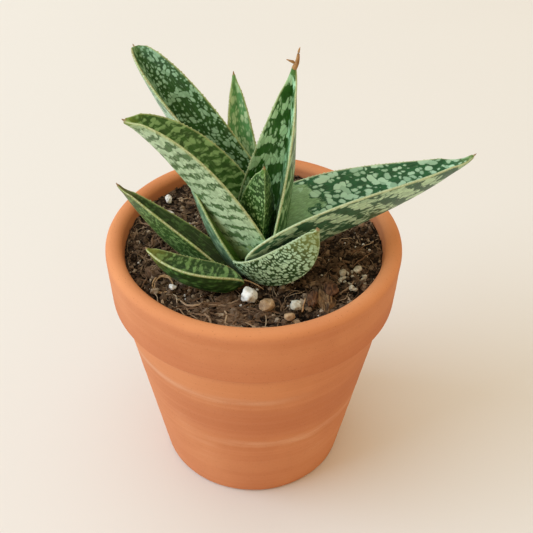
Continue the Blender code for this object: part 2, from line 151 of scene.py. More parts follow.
class Finish:
    """A material being mixed. Each step returns the socket that the next one takes."""

    def __init__(self, name):
        self.material = bpy.data.materials.new(name)
        self.material.use_nodes = True
        self.tree = self.material.node_tree
        self.shader = self.tree.nodes["Principled BSDF"]

    def put(self, kind, ins=None, out=0, **settings):
        node = self.tree.nodes.new(kind)
        for key, value in settings.items():
            setattr(node, key, value)
        for key, value in (ins or {}).items():
            self.feed(node.inputs[key], value)
        return node.outputs[out]

    def feed(self, socket, value):
        if isinstance(value, bpy.types.NodeSocket):
            self.tree.links.new(value, socket)
        else:
            socket.default_value = value

    def math(self, how, first, second=0.0):
        return self.put("ShaderNodeMath", {0: first, 1: second}, operation=how)

    def plus(self, first, second):
        return self.math("ADD", first, second)

    def minus(self, first, second):
        return self.math("SUBTRACT", first, second)

    def times(self, first, second):
        return self.math("MULTIPLY", first, second)

    def ramp(self, value, low, high, start=0.0, end=1.0):
        """Smooth change from start to end while value goes from low to high."""
        ins = {"Value": value, "From Min": low, "From Max": high, "To Min": start, "To Max": end}
        return self.put("ShaderNodeMapRange", ins, interpolation_type="SMOOTHSTEP")

    def between(self, value, low, low_full, high, high_full):
        """1 from low_full to high_full, fading to 0 at low and at high."""
        return self.times(self.ramp(value, low, low_full), self.ramp(value, high, high_full))

    def blend(self, share, first, second):
        return self.put("ShaderNodeMix", {0: share, 6: first, 7: second}, out=2, data_type="RGBA")

    def stain(self, base, where, strength, colour):
        """The base with a screen colour laid over it, as strongly as where and strength say."""
        return self.blend(self.times(where, strength), base, paint(*colour))

    def away(self, value, middle=0.0):
        """How far a value is from the middle."""
        return self.math("ABSOLUTE", self.minus(value, middle) if middle else value)

    def spot(self, x, y, z=0.0):
        return self.put("ShaderNodeCombineXYZ", {0: x, 1: y, 2: z})

    def parts(self, where):
        """The three parts of a place."""
        return self.put("ShaderNodeSeparateXYZ", {0: where}).node.outputs

    def scaled(self, where, x, y, z):
        return self.put("ShaderNodeVectorMath", {0: where, 1: (x, y, z)}, operation="MULTIPLY")

    def cloud(self, where, scale, detail=3.0, rough=0.55, out=0):
        """Soft noise, about 0.5 in the middle."""
        ins = {"Vector": where, "Scale": scale, "Detail": detail, "Roughness": rough}
        return self.put("ShaderNodeTexNoise", ins, out=out)

    def cells(self, where, scale=1.0, loose=1.0, feature="F1", spread="3D"):
        """Distance to the nearest cell's middle, or to its edge."""
        ins = {"Vector": where, "Scale": scale, "Randomness": loose}
        return self.put("ShaderNodeTexVoronoi", ins, feature=feature, voronoi_dimensions=spread)

    def own(self):
        """The piece's own coordinates, in metres."""
        return self.put("ShaderNodeTexCoord", out=3)

    def bump(self, height, strength, distance, under=None):
        ins = {"Height": height, "Strength": strength, "Distance": distance}
        if under:
            ins["Normal"] = under
        return self.put("ShaderNodeBump", ins)

    def coat(self, colour, roughness, normal=None, **values):
        self.feed(self.shader.inputs["Base Color"], colour)
        self.feed(self.shader.inputs["Roughness"], roughness)
        if normal:
            self.feed(self.shader.inputs["Normal"], normal)
        for key, value in values.items():
            self.shader.inputs[key.replace("_", " ")].default_value = value
        return self.material


# Pot: the profile is measured in mm from the axis and the base

POT_HEIGHT = 104.0
RIM_RADIUS = 55.0
BAND_FOOT_RADIUS = 53.8
BAND_HEIGHT = 24.0
BODY_TOP_RADIUS = 50.8
BASE_RADIUS = 36.7
MOUTH_RADIUS = 48.6
INNER_FLOOR_RADIUS = 31.0
FLOOR_THICKNESS = 7.0
FLOOR_ROUND = 3.0
DRAIN_RADIUS = 6.0
LIP_OUTER_ROUND = 3.2
LIP_INNER_ROUND = 2.9
BAND_FOOT_ROUND = 1.5
BASE_ROUND = 1.6
LINE_DEPTH = 0.05         # turned lines
WAVE_DEPTH = 0.10         # slow swelling of the wall
DENT_DEPTH = 0.10
WALL_DRAWN_IN = 0.12      # keeps the uneven wall within the solid's width
POT_SEGMENTS = 160
POT_CRISP = 50            # degrees
TURNING_PITCH = 0.8       # height between the turned lines of the wall
# Heights in metres between which the clay has another tone: start, full, end, full
WAIST = (0.038, 0.046, 0.062, 0.056)
SHOULDER = (0.065, 0.068, 0.079, 0.075)
BAND_LOW = (0.079, 0.081, 0.094, 0.086)
SCUFFED = (0.012, 0.03, 0.078, 0.062)
# Height in metres of the painted shade line in the crease under the band's overhang
CREASE_SHADE_HEIGHT = 0.0795
# Heights in metres over which the painted highlight on the lip's outer round fades in
LIP_HIGHLIGHT = (0.1010, 0.1032)
# Pale rings of slip round the body: height, and where across the pot each fades and is strongest, in metres
SLIP_RINGS = [(0.065, 0.026, -0.004), (0.0365, -0.026, 0.002)]


def arc(centre, radius, start, end, steps):
    """Points on an arc, angles in degrees from the outward direction."""
    turns = [math.radians(start + (end - start) * i / steps) for i in range(steps + 1)]
    return [(centre[0] + radius * math.cos(t), centre[1] + radius * math.sin(t)) for t in turns]


def run(start, end, pitch):
    """Points from start towards end, without the end."""
    steps = max(1, round(math.dist(start, end) / pitch))
    return [(start[0] + (end[0] - start[0]) * i / steps, start[1] + (end[1] - start[1]) * i / steps)
            for i in range(steps)]


def pot_outline():
    """The wall's section: down the outside, under the base, up the inside and over the lip."""
    ledge = POT_HEIGHT - BAND_HEIGHT
    points = arc((RIM_RADIUS - LIP_OUTER_ROUND, POT_HEIGHT - LIP_OUTER_ROUND), LIP_OUTER_ROUND, 90, 0, 9)
    band_top = (RIM_RADIUS, POT_HEIGHT - LIP_OUTER_ROUND)
    points = points[:-1] + run(band_top, (BAND_FOOT_RADIUS, ledge + 1.6), TURNING_PITCH)
    points += arc((BAND_FOOT_RADIUS - BAND_FOOT_ROUND, ledge + BAND_FOOT_ROUND), BAND_FOOT_ROUND, 0, -80, 5)
    body_top = (BODY_TOP_RADIUS, ledge - 1.0)
    points += [(BODY_TOP_RADIUS + 0.5, ledge), (BODY_TOP_RADIUS + 0.12, ledge - 0.45)]
    points += run(body_top, (BASE_RADIUS + 0.1, BASE_ROUND), TURNING_PITCH)
    points += arc((BASE_RADIUS - BASE_ROUND, BASE_ROUND), BASE_ROUND, -5, -90, 5)
    points += run((BASE_RADIUS - 3.0, 0.0), (DRAIN_RADIUS, 0.0), 6.0)
    points += [(DRAIN_RADIUS, 0.3), (DRAIN_RADIUS, FLOOR_THICKNESS)]
    points += run((DRAIN_RADIUS + 2, FLOOR_THICKNESS), (INNER_FLOOR_RADIUS - 3, FLOOR_THICKNESS), 6.0)
    points += arc((INNER_FLOOR_RADIUS - FLOOR_ROUND, FLOOR_THICKNESS + FLOOR_ROUND), FLOOR_ROUND, -90, 0, 4)
    inside_top = (MOUTH_RADIUS, POT_HEIGHT - LIP_INNER_ROUND)
    points += run((INNER_FLOOR_RADIUS + 0.3, FLOOR_THICKNESS + 5.0), inside_top, 3.0)
    points += arc((MOUTH_RADIUS + LIP_INNER_ROUND, POT_HEIGHT - LIP_INNER_ROUND), LIP_INNER_ROUND, 180, 90, 8)
    return points


def throw_pot():
    """A ring of clay drawn out step by step along the outline, then joined to itself over the lip."""
    outline = pot_outline()
    let_go()
    first = outline[0]
    bpy.ops.mesh.primitive_circle_add(vertices=POT_SEGMENTS, radius=first[0] * MM,
                                      location=(AXIS_X, AXIS_Y, first[1] * MM))
    pot = bpy.context.object
    pot.name = "clay_pot"
    bpy.ops.object.mode_set(mode="EDIT")
    bpy.ops.mesh.select_all(action="SELECT")
    reached = first
    for radius, height in outline[1:]:
        bpy.ops.mesh.extrude_edges_move(TRANSFORM_OT_translate={"value": (0, 0, (height - reached[1]) * MM)})
        share = radius / reached[0]
        bpy.ops.transform.resize(value=(share, share, 1.0), center_override=(AXIS_X, AXIS_Y, height * MM))
        reached = (radius, height)
    bpy.ops.mesh.select_all(action="DESELECT")
    bpy.ops.mesh.select_non_manifold()
    bpy.ops.mesh.bridge_edge_loops()
    bpy.ops.mesh.select_all(action="SELECT")
    bpy.ops.mesh.normals_make_consistent(inside=False)
    bpy.ops.object.mode_set(mode="OBJECT")
    bpy.ops.object.transform_apply(location=True, rotation=True, scale=True)
    middle = Vector((AXIS_X, AXIS_Y, 0))
    for vert in pot.data.vertices:
        out = vert.co - middle
        radius = math.hypot(out.x, out.y)
        if radius < DRAIN_RADIUS * 1.5 * MM or vert.co.z < 0.5 * MM:
            continue
        height = vert.co.z / MM
        turn = math.atan2(out.y, out.x)
        line = noise.noise(Vector((height / 0.9, 3.1, turn * 0.15))) * LINE_DEPTH
        wave = noise.noise(Vector((height / 7.0, 8.2, turn * 0.4))) * WAVE_DEPTH
        dent = noise.noise(vert.co * 60) * DENT_DEPTH
        push = (line + wave + dent - WALL_DRAWN_IN) * MM
        vert.co.x += out.x / radius * push
        vert.co.y += out.y / radius * push
    soften(pot, POT_CRISP)
    return pot


def terracotta():
    """Fired clay: warm orange in clouds, turned streaks, rings of slip, chalky scuffs, fine pores, a painted
    shade line under the band and a painted highlight on the lip.
    """
    f = Finish("terracotta_clay")
    own = f.own()
    clouds = f.cloud(own, 24.0, 4.0, 0.6)
    streaks = f.cloud(f.scaled(own, 5.0, 5.0, 520.0), 1.0, 3.0, 0.55)
    bands = f.cloud(f.scaled(own, 7.0, 7.0, 70.0), 1.0, 3.0, 0.5)
    grain = f.cloud(own, 1700.0, 3.0, 0.7)
    chalk = f.cloud(f.scaled(own, 34.0, 34.0, 300.0), 1.0, 5.0, 0.7)
    patch = f.cloud(own, 22.0, 2.0, 0.5)
    across, _, height = f.parts(own)
    side = f.minus(across, AXIS_X)
    uneven = f.plus(height, f.times(f.minus(clouds, 0.5), 0.006))
    base = f.blend(f.ramp(clouds, 0.35, 0.68), paint(202, 126, 82), paint(211, 137, 92))
    base = f.stain(base, f.ramp(streaks, 0.45, 0.72), 0.18, (222, 155, 112))
    base = f.stain(base, f.ramp(bands, 0.50, 0.72), 0.20, (190, 113, 70))
    base = f.stain(base, f.ramp(bands, 0.48, 0.30), 0.18, (222, 154, 108))
    base = f.stain(base, f.ramp(grain, 0.55, 0.8), 0.25, (222, 160, 120))
    base = f.stain(base, f.ramp(grain, 0.42, 0.25), 0.25, (150, 80, 48))
    chalky = f.times(f.ramp(chalk, 0.48, 0.70), f.ramp(patch, 0.48, 0.66))
    scuff = f.times(chalky, f.between(height, *SCUFFED))
    base = f.stain(base, scuff, 0.45, (222, 166, 128))
    waist = f.times(f.between(uneven, *WAIST), f.ramp(side, -0.042, -0.014))
    base = f.stain(base, waist, 0.32, (182, 103, 66))
    shoulder = f.times(f.between(uneven, *SHOULDER), f.ramp(side, 0.044, 0.0, 0.25, 1.0))
    base = f.stain(base, shoulder, 0.30, (226, 150, 98))
    base = f.stain(base, f.between(uneven, *BAND_LOW), 0.30, (186, 104, 66))
    broken = f.ramp(chalk, 0.30, 0.62)
    for ring_height, start, end in SLIP_RINGS:
        ring = f.times(f.ramp(f.away(uneven, ring_height), 0.0034, 0.0), f.ramp(side, start, end))
        base = f.stain(base, f.times(ring, broken), 0.40, (230, 180, 144))
    # painted shade: a dark line in the crease just under the band's overhang
    crease_shade = f.ramp(f.away(height, CREASE_SHADE_HEIGHT), 0.0014, 0.0002)
    base = f.stain(base, crease_shade, 0.45, (142, 74, 44))
    # painted highlight along the lip's outer round, broken up in patches
    lip_highlight = f.times(f.ramp(height, *LIP_HIGHLIGHT), f.ramp(patch, 0.30, 0.60, 0.5, 1.0))
    base = f.stain(base, lip_highlight, 0.36, (236, 160, 102))
    pore = f.ramp(f.cells(own, 800.0), 0.16, 0.05)
    base = f.stain(base, pore, 0.4, (130, 66, 38))
    rough = f.ramp(clouds, 0.3, 0.7, 0.80, 0.92)
    grit = f.bump(grain, 0.22, 0.00022, f.bump(streaks, 0.25, 0.00030))
    return f.coat(base, rough, f.bump(pore, 0.4, -0.0003, grit), Specular_IOR_Level=0.25)


# Leaves: a leaf is a folded blade, measured in mm and degrees as the solids are

# foot: where the midrib starts. heading and rise: the midrib's direction at the foot, middle and tip.
# wing: half the width laid flat. fold: how far each wing is folded up, and roll: how far the blade turns
# on its midrib, at the foot and the tip. taper and point: the outline's shape towards the tip. keel: its
# depth. foot_share and growth: width at the foot, and how soon the full width is reached. start: where
# the blade begins, from the foot. spine: length of the point.
Leaf = namedtuple("Leaf", "name foot heading rise length wing fold roll taper point keel foot_share growth "
                          "start spine")

LEAVES = [
    Leaf("leaf_heart", (1.5, -14.0, 107.0), (-73, -74, -72), (78, 82, 83), 41.0, 9.5, (41, 46), (0, 3),
         2.5, 0.9, 3.5, 0.8, 0.12, 3.0, 0.4),
    Leaf("leaf_tall", (6.0, -10.0, 102.5), (47, 52, 67), (78, 81, 86), 74.0, 16.0, (46, 50), (-8, 0),
         1.8, 0.9, 6.0, 0.8, 0.12, 6.0, 6.0),
    Leaf("leaf_left", (-2.5, -12.0, 104.0), (174, 177, 191), (63, 57, 34), 70.5, 16.0, (58, 44), (2, -3),
         2.3, 0.7, 3.8, 0.8, 0.12, 0.0, 0.4),
    Leaf("leaf_right", (1.5, -14.5, 100.0), (12, 20, 32), (46, 12, 20), 92.0, 20.5, (53, 46), (-3, -7),
         1.7, 0.9, 6.0, 0.2, 0.03, -2.0, 0.6),
    Leaf("leaf_under_left", (-7.0, -14.0, 101.5), (161, 154, 152), (55, 63, 63), 39.5, 8.0, (44, 47),
         (0, -3), 1.4, 0.9, 3.2, 0.8, 0.12, -3.0, 0.4),
    Leaf("leaf_front_short", (-5.7, -16.2, 104.7), (-54, -12, 1), (-22, 39, 98), 47.2, 12.8, (27, 71),
         (-19, -48), 3.6, 0.9, 2.6, 0.35, 0.12, 1.5, 0.3),
    Leaf("leaf_back_left", (2.0, -4.0, 99.5), (165, 145, 124), (62, 49, 35), 88.5, 15.5, (70, 47), (3, -4),
         3.5, 0.65, 4.2, 0.8, 0.12, -3.0, 0.4),
    Leaf("leaf_back_small", (-1.5, -5.0, 100.5), (104, 103, 102), (66, 66, 65), 65.0, 8.0, (38, 34),
         (0, 0), 2.5, 0.9, 3.0, 0.8, 0.12, -4.0, 0.7),
    Leaf("leaf_front_left", (-3.5, -26.5, 103.5), (192, 170, 147), (2, 16, 35), 37.5, 7.7, (44, 36), (13, 6),
         2.6, 0.8, 4.0, 0.12, 0.12, 0.0, 0.4),
    Leaf("leaf_low_left", (-13.0, -16.5, 100.0), (158, 157, 151), (34, 34, 38), 47.5, 8.0, (48, 52),
         (11, 10), 1.7, 0.9, 4.5, 0.8, 0.12, -4.0, 0.7),
]

MARGIN_THICKNESS = 1.0
SPINE_RADIUS = 0.4
BLADE_END = 0.985
CHANNEL_FILL = 0.07
OUTER_BULGE = 0.06
INNER_HOLLOW = 0.03
ROUND_FROM = 0.26
STATION = 0.33            # distance between cross-sections
TOOTH_EVERY = 4           # stations from one tooth to the next
TOOTH_HEIGHT = 0.34
TOOTH_SHAPE = (0.0, 0.25, 1.0, 0.1)
TOOTH_RANGE = (0.1, 1.2)  # smallest and largest tooth, against that height
TIP_RINGS = ((0.25, 0.9), (0.55, 0.65), (0.8, 0.4))   # share of the point's length, and its width there
TIP_RISE = 0.08
MAP_LENGTH = 100.0        # mm of leaf in one unit of its map
EDGE_LENGTH = 10.0        # the same, for the distance to the margin
OUTER_STEPS = 9           # points on each outer face, margin and inner face of a section
MARGIN_STEPS = 4
INNER_STEPS = 8


def blend_three(values, share):
    """A value that passes through the three given ones at share 0, 1/2 and 1."""
    foot, middle, tip = values
    ends = foot * (1 - share) * (1 - 2 * share) + tip * share * (2 * share - 1)
    return ends + middle * 4 * share * (1 - share)


def mix(pair, share):
    """Straight blend of two values."""
    return pair[0] + (pair[1] - pair[0]) * share


def midrib_directions(leaf, share):
    """Unit vectors along the midrib, and square to it upwards, before the roll."""
    course = math.radians(blend_three(leaf.heading, share))
    climb = math.radians(blend_three(leaf.rise, share))
    level = Vector((math.cos(course), math.sin(course), 0.0))
    return (level * math.cos(climb) + Vector((0, 0, math.sin(climb))),
            level * -math.sin(climb) + Vector((0, 0, math.cos(climb))))


def leaf_stations(leaf):
    """(share, point, along, side, up) at each cross-section, from the blade's start to its end."""
    fine = 200
    points = [Vector(leaf.foot)]
    for i in range(fine):
        points.append(points[-1] + midrib_directions(leaf, (i + 0.5) / fine)[0] * leaf.length / fine)
    count = round((leaf.length * BLADE_END - leaf.start) / STATION)
    made = []
    for i in range(count + 1):
        share = (leaf.start + (leaf.length * BLADE_END - leaf.start) * i / count) / leaf.length
        held = min(max(share, 0.0), 1.0)
        along, up = midrib_directions(leaf, held)
        whole = min(int(held * fine), fine - 1)
        point = points[whole].lerp(points[whole + 1], held * fine - whole)
        point = point + along * (share - held) * leaf.length
        roll = math.radians(mix(leaf.roll, held))
        turned_up = up * math.cos(roll) + along.cross(up) * math.sin(roll)
        made.append((share, point, along, along.cross(turned_up), turned_up))
    return made


def leaf_width(leaf, share):
    """Width at a share of the length, against the widest."""
    held = min(max(share, 0.0), 1.0)
    grown = leaf.foot_share + (1 - leaf.foot_share) * (1 - math.exp(-held / leaf.growth))
    return (1 - held ** leaf.taper) ** leaf.point * grown


def through(start, middle, end, steps):
    """Points of a smooth curve that starts, passes the middle halfway, and ends."""
    turn = (2 * middle[0] - (start[0] + end[0]) / 2, 2 * middle[1] - (start[1] + end[1]) / 2)
    made = []
    for i in range(steps + 1):
        t = i / steps
        made.append(tuple((1 - t) ** 2 * start[k] + 2 * t * (1 - t) * turn[k] + t * t * end[k]
                          for k in (0, 1)))
    return made


def half_section(leaf, share, tooth):
    """One side of a cross-section, keel to channel, as (across, up, distance over the face, face, edge).

    The distance is from the keel on the outer face and from the channel on the inner one, face is 1 outside
    and 0 inside, and edge is the distance to the margin.
    """
    width = leaf_width(leaf, share)
    fold = math.radians(mix(leaf.fold, min(max(share, 0.0), 1.0)))
    wing = leaf.wing * width
    half_edge = MARGIN_THICKNESS / 2 * min(1.0, 0.55 + width)
    keel = -leaf.keel * min(1.0, width * 1.3)
    channel = CHANNEL_FILL * leaf.wing * width
    out = (math.cos(fold), math.sin(fold))
    under = (wing * out[0] + half_edge * out[1], wing * out[1] - half_edge * out[0])
    over = (max(wing * out[0] - half_edge * out[1], 0.12), wing * out[1] + half_edge * out[0])
    over = (over[0], max(over[1], channel + 0.1))
    bulge = OUTER_BULGE * leaf.wing * width
    outer = (under[0] / 2 + bulge * out[1], (keel + under[1]) / 2 - bulge * out[0])
    hollow = INNER_HOLLOW * leaf.wing * width
    inner = (max(over[0] * 0.5 + hollow * out[1], 0.06), mix((channel, over[1]), 0.5) - hollow * out[0])
    outside = through((0.0, keel), outer, under, OUTER_STEPS)
    inside = through(over, inner, (0.0, channel), INNER_STEPS)
    points = [(x, z, 1.0) for x, z in outside]
    middle = ((under[0] + over[0]) / 2, (under[1] + over[1]) / 2)
    for i in range(1, MARGIN_STEPS):
        turn = math.pi * i / MARGIN_STEPS
        reach = half_edge * math.sin(turn) * 0.9 + (tooth if i == MARGIN_STEPS // 2 else 0.0)
        back = math.cos(turn) * half_edge
        points.append((middle[0] + out[0] * reach + out[1] * back, middle[1] + out[1] * reach - out[0] * back,
                       1.0 - i / MARGIN_STEPS))
    points += [(x, z, 0.0) for x, z in inside]
    roundness = min(max((ROUND_FROM - width) / 0.2, 0.0), 1.0)
    radius = SPINE_RADIUS + 0.45 * leaf.wing * width
    made = []
    for i, (x, z, face) in enumerate(points):
        turn = math.pi * i / (len(points) - 1) - math.pi / 2
        made.append((mix((x, radius * math.cos(turn)), roundness),
                     mix((z, radius * math.sin(turn)), roundness), face))
    walked = [0.0]
    for here, there in zip(made, made[1:]):
        walked.append(walked[-1] + math.dist(here[:2], there[:2]))
    first_edge = walked[OUTER_STEPS]
    last_edge = walked[OUTER_STEPS + MARGIN_STEPS]
    result = []
    for (x, z, face), far in zip(made, walked):
        across = far if far <= (first_edge + last_edge) / 2 else walked[-1] - far
        edge = max(first_edge - far, far - last_edge, 0.0)
        result.append((x, z, across, face, edge))
    return result


def grow_leaf(leaf, seed):
    """One leaf with rounded, toothed margins, its own map of places along and across, and its point."""
    draw = random.Random(seed)
    stations = leaf_stations(leaf)
    heights = [[draw.uniform(*TOOTH_RANGE) for _ in range(len(stations) // TOOTH_EVERY + 2)] for _ in (0, 1)]
    rows = []
    maps = []
    for i, (share, point, _, side, up) in enumerate(stations):
        width = leaf_width(leaf, share)
        halves = []
        for hand in (0, 1):
            step = i + hand * 2
            size = heights[hand][step // TOOTH_EVERY] * min(1.0, width * 2.5) * min(1.0, i / 12)
            tooth = TOOTH_HEIGHT * TOOTH_SHAPE[step % TOOTH_EVERY] * size
            halves.append(half_section(leaf, share, tooth))
        row = [(point + side * x + up * z, across, face, edge) for x, z, across, face, edge in halves[0]]
        row += [(point - side * x + up * z, -across, face, edge)
                for x, z, across, face, edge in reversed(halves[1][:-1])]
        rows.append([p for p, _, _, _ in row])
        maps.append([(share * leaf.length, across, face, edge) for _, across, face, edge in row])
    around = len(rows[0]) - 1
    _, last, along, side, up = stations[-1]
    reach = min(leaf.spine, 0.6) + leaf.length * (1 - BLADE_END)
    for part, thin in TIP_RINGS:
        ring = []
        for j in range(around + 1):
            turn = 2 * math.pi * j / around - math.pi / 2
            out = side * math.cos(turn) + up * math.sin(turn)
            sway = up * (TIP_RISE * part * part)
            ring.append(last + along * reach * part + sway + out * SPINE_RADIUS * thin)
        rows.append(ring)
        maps.append([(leaf.length * BLADE_END + reach * part, 0.0, 0.5, 0.0)] * (around + 1))
    rows.append([last + along * reach + up * TIP_RISE] * (around + 1))
    maps.append([(leaf.length * BLADE_END + reach, 0.0, 0.5, 0.0)] * (around + 1))
    skin, row, column = wrap_grid(leaf.name + "_blade", [[from_axis(*p) for p in row] for row in rows])
    where = np.array(maps)[row, column]
    loops = np.empty(len(skin.data.loops), int)
    skin.data.loops.foreach_get("vertex_index", loops)
    for layer in list(skin.data.uv_layers):
        skin.data.uv_layers.remove(layer)
    for name, columns, scale in (("along_across", (0, 1), (MAP_LENGTH, MAP_LENGTH)),
                                 ("face_edge", (2, 3), (1.0, EDGE_LENGTH))):
        layer = skin.data.uv_layers.new(name=name)
        values = where[loops][:, columns] * (1 / np.array(scale))
        layer.data.foreach_set("uv", values.ravel())
    close_up(skin)
    return skin


def fit_among(skin, others):
    """Cuts away what would stand inside the other leaves, and keeps the largest body."""
    for other in others:
        cut = skin.modifiers.new("fit", "BOOLEAN")
        cut.operation = "DIFFERENCE"
        cut.solver = "MANIFOLD"
        cut.object = other
        take(skin)
        bpy.ops.object.modifier_apply(modifier=cut.name)
    form = bmesh.new()
    form.from_mesh(skin.data)
    left = set(form.faces)
    best = []
    while left:
        heap = [left.pop()]
        body = list(heap)
        while heap:
            for edge in heap.pop().edges:
                for face in edge.link_faces:
                    if face in left:
                        left.remove(face)
                        body.append(face)
                        heap.append(face)
        if len(body) > len(best):
            best = body
    kept = set(best)
    bmesh.ops.delete(form, geom=[face for face in form.faces if face not in kept], context="FACES")
    form.to_mesh(skin.data)
    form.free()


# What a leaf's two faces look like. dark and pale are screen colours. A pale patch is a cluster of small
# streaks: streak is one's length and width in mm, blotch the cluster's, fill how much is pale, and band,
# period and lean make cross bands, so many mm apart, swept back from the midrib. plain is the length of
# evenly pale base, gap how clearly dark lines part the streaks, dots how far they shrink to separate
# spots, and soft blurs them. A look has the two faces, the tip's colour and length, the margin's colour,
# how much of it has dried brown, how wide it shows, and a shift that gives the leaf its own part of the
# pattern.
Face = namedtuple("Face", "dark pale streak blotch fill band period lean plain gap dots soft")
Look = namedtuple("Look", "inner outer tip tip_length margin brown wide shift")

LOOKS = {
    "leaf_back_left": Look(
        Face((48, 92, 34), (152, 188, 150), (1.8, 1.3), (4.2, 3.6), 0.44, 0.05, 9, 0.3, 0, 0.1, 0.6, 0.07),
        Face((98, 134, 100), (166, 192, 158), (2.2, 1.4), (5, 3.4), 0.58, 0.08, 7, 0.4, 8, 0.2, 0.4, 0.08),
        (84, 120, 52), 7.0, (166, 182, 112), 0.6, 0.30, 3.0),
    "leaf_left": Look(
        Face((58, 104, 38), (136, 174, 112), (1.2, 2), (2.4, 3), 0.40, 0.18, 3.4, 0.3, 0, 0.1, 0.4, 0.13),
        Face((84, 118, 70), (178, 201, 162), (1.6, 1.2), (3, 7), 0.64, 0.24, 4.7, 0.12, 6, 0.1, 0.4, 0.15),
        (120, 146, 50), 8.0, (186, 196, 132), 0.15, 0.50, 11.0),
    "leaf_low_left": Look(
        Face((42, 74, 24), (74, 108, 52), (1.8, 1.2), (4, 2.6), 0.32, 0.05, 7, 0.4, 0, 0.1, 0.5, 0.12),
        Face((50, 86, 32), (106, 138, 78), (1.5, 1), (3, 2.4), 0.36, 0.06, 5, 0.3, 0, 0.1, 0.7, 0.08),
        (116, 108, 62), 13.0, (166, 178, 104), 0.5, 0.26, 21.0),
    "leaf_front_left": Look(
        Face((34, 72, 8), (122, 156, 90), (1.2, 2), (3, 4.2), 0.38, 0.12, 3.1, 0.2, 0, 0.1, 0.35, 0.16),
        Face((32, 66, 16), (88, 132, 68), (2.2, 1.8), (3.2, 2.8), 0.34, 0.06, 4, 0.2, 0, 0.1, 0.4, 0.16),
        (136, 138, 58), 11.0, (172, 184, 118), 0.35, 0.26, 33.0),
    "leaf_tall": Look(
        Face((42, 98, 24), (170, 210, 166), (3, 1.1), (4.2, 2.6), 0.47, 0.10, 9.5, 0.3, 0, 0.25, 0.3, 0.05),
        Face((54, 104, 40), (166, 198, 158), (3.2, 1.1), (4.8, 3), 0.46, 0.12, 9, 0.3, 6, 0.25, 0.3, 0.07),
        (86, 130, 58), 7.0, (186, 200, 142), 0.15, 0.40, 45.0),
    "leaf_back_small": Look(
        Face((104, 164, 98), (186, 212, 164), (2.4, 1.1), (4.6, 2.4), 0.46, 0.06, 8, 0.3, 0, 0.15, 0.5, 0.12),
        Face((100, 158, 96), (182, 208, 158), (3, 1.1), (4.4, 2.4), 0.38, 0.06, 8, 0.3, 0, 0.15, 0.5, 0.12),
        (106, 150, 80), 9.0, (160, 174, 100), 0.3, 0.30, 57.0),
    "leaf_heart": Look(
        Face((44, 80, 34), (120, 156, 100), (2, 1.1), (3, 3.6), 0.44, 0.10, 4, 0.2, 0, 0.2, 0.6, 0.1),
        Face((40, 80, 18), (134, 168, 110), (1.4, 1), (2.2, 4), 0.27, 0.16, 3.4, 0.2, 0, 0.15, 1, 0.06),
        (100, 146, 62), 4.0, (156, 182, 114), 0.0, 0.30, 66.0),
    "leaf_right": Look(
        # painted reflection: this inner face's dark and pale are lighter and bluer than the leaf's own
        # colours, for the cool light's sheen on it
        Face((44, 106, 66), (180, 216, 188), (2.5, 2), (5.2, 4.4), 0.48, 0.03, 11, 0.5, 29, 0, 0.6, 0.06),
        Face((58, 106, 74), (186, 217, 182), (2.4, 1.4), (4.4, 3.8),
             0.46, 0.15, 10.5, 0.8, 3, 0.2, 0.35, 0.06),
        (120, 150, 80), 10.0, (196, 211, 162), 0.1, 0.32, 78.0),
    "leaf_front_short": Look(
        Face((54, 98, 56), (136, 172, 134), (1.8, 1.2), (3, 3), 0.50, 0.05, 5, 0.3, 0, 0.2, 0.5, 0.1),
        Face((40, 72, 30), (172, 202, 166), (1.25, 1.5), (3, 3), 0.50, 0.05, 3.4, 0.3, 0, 0.25, 1.3, 0.13),
        (126, 130, 58), 21.0, (178, 196, 146), 0.1, 0.30, 91.0),
    "leaf_under_left": Look(
        Face((84, 128, 38), (112, 150, 62), (4, 1.2), (6, 2), 0.30, 0.04, 8, 0.2, 0, 0.1, 0.1, 0.3),
        Face((92, 128, 96), (146, 176, 138), (2.6, 1.3), (4, 3), 0.44, 0.05, 6, 0.3, 0, 0.1, 0.3, 0.16),
        (140, 166, 98), 5.0, (168, 188, 122), 0.0, 0.30, 104.0),
}
CELL_LOOSE = 0.85         # how unevenly the streaks lie
SHIFT_ROWS = 7.3          # streaks along and across that one step of a look's shift moves the pattern by
SHIFT_LINES = 3.1


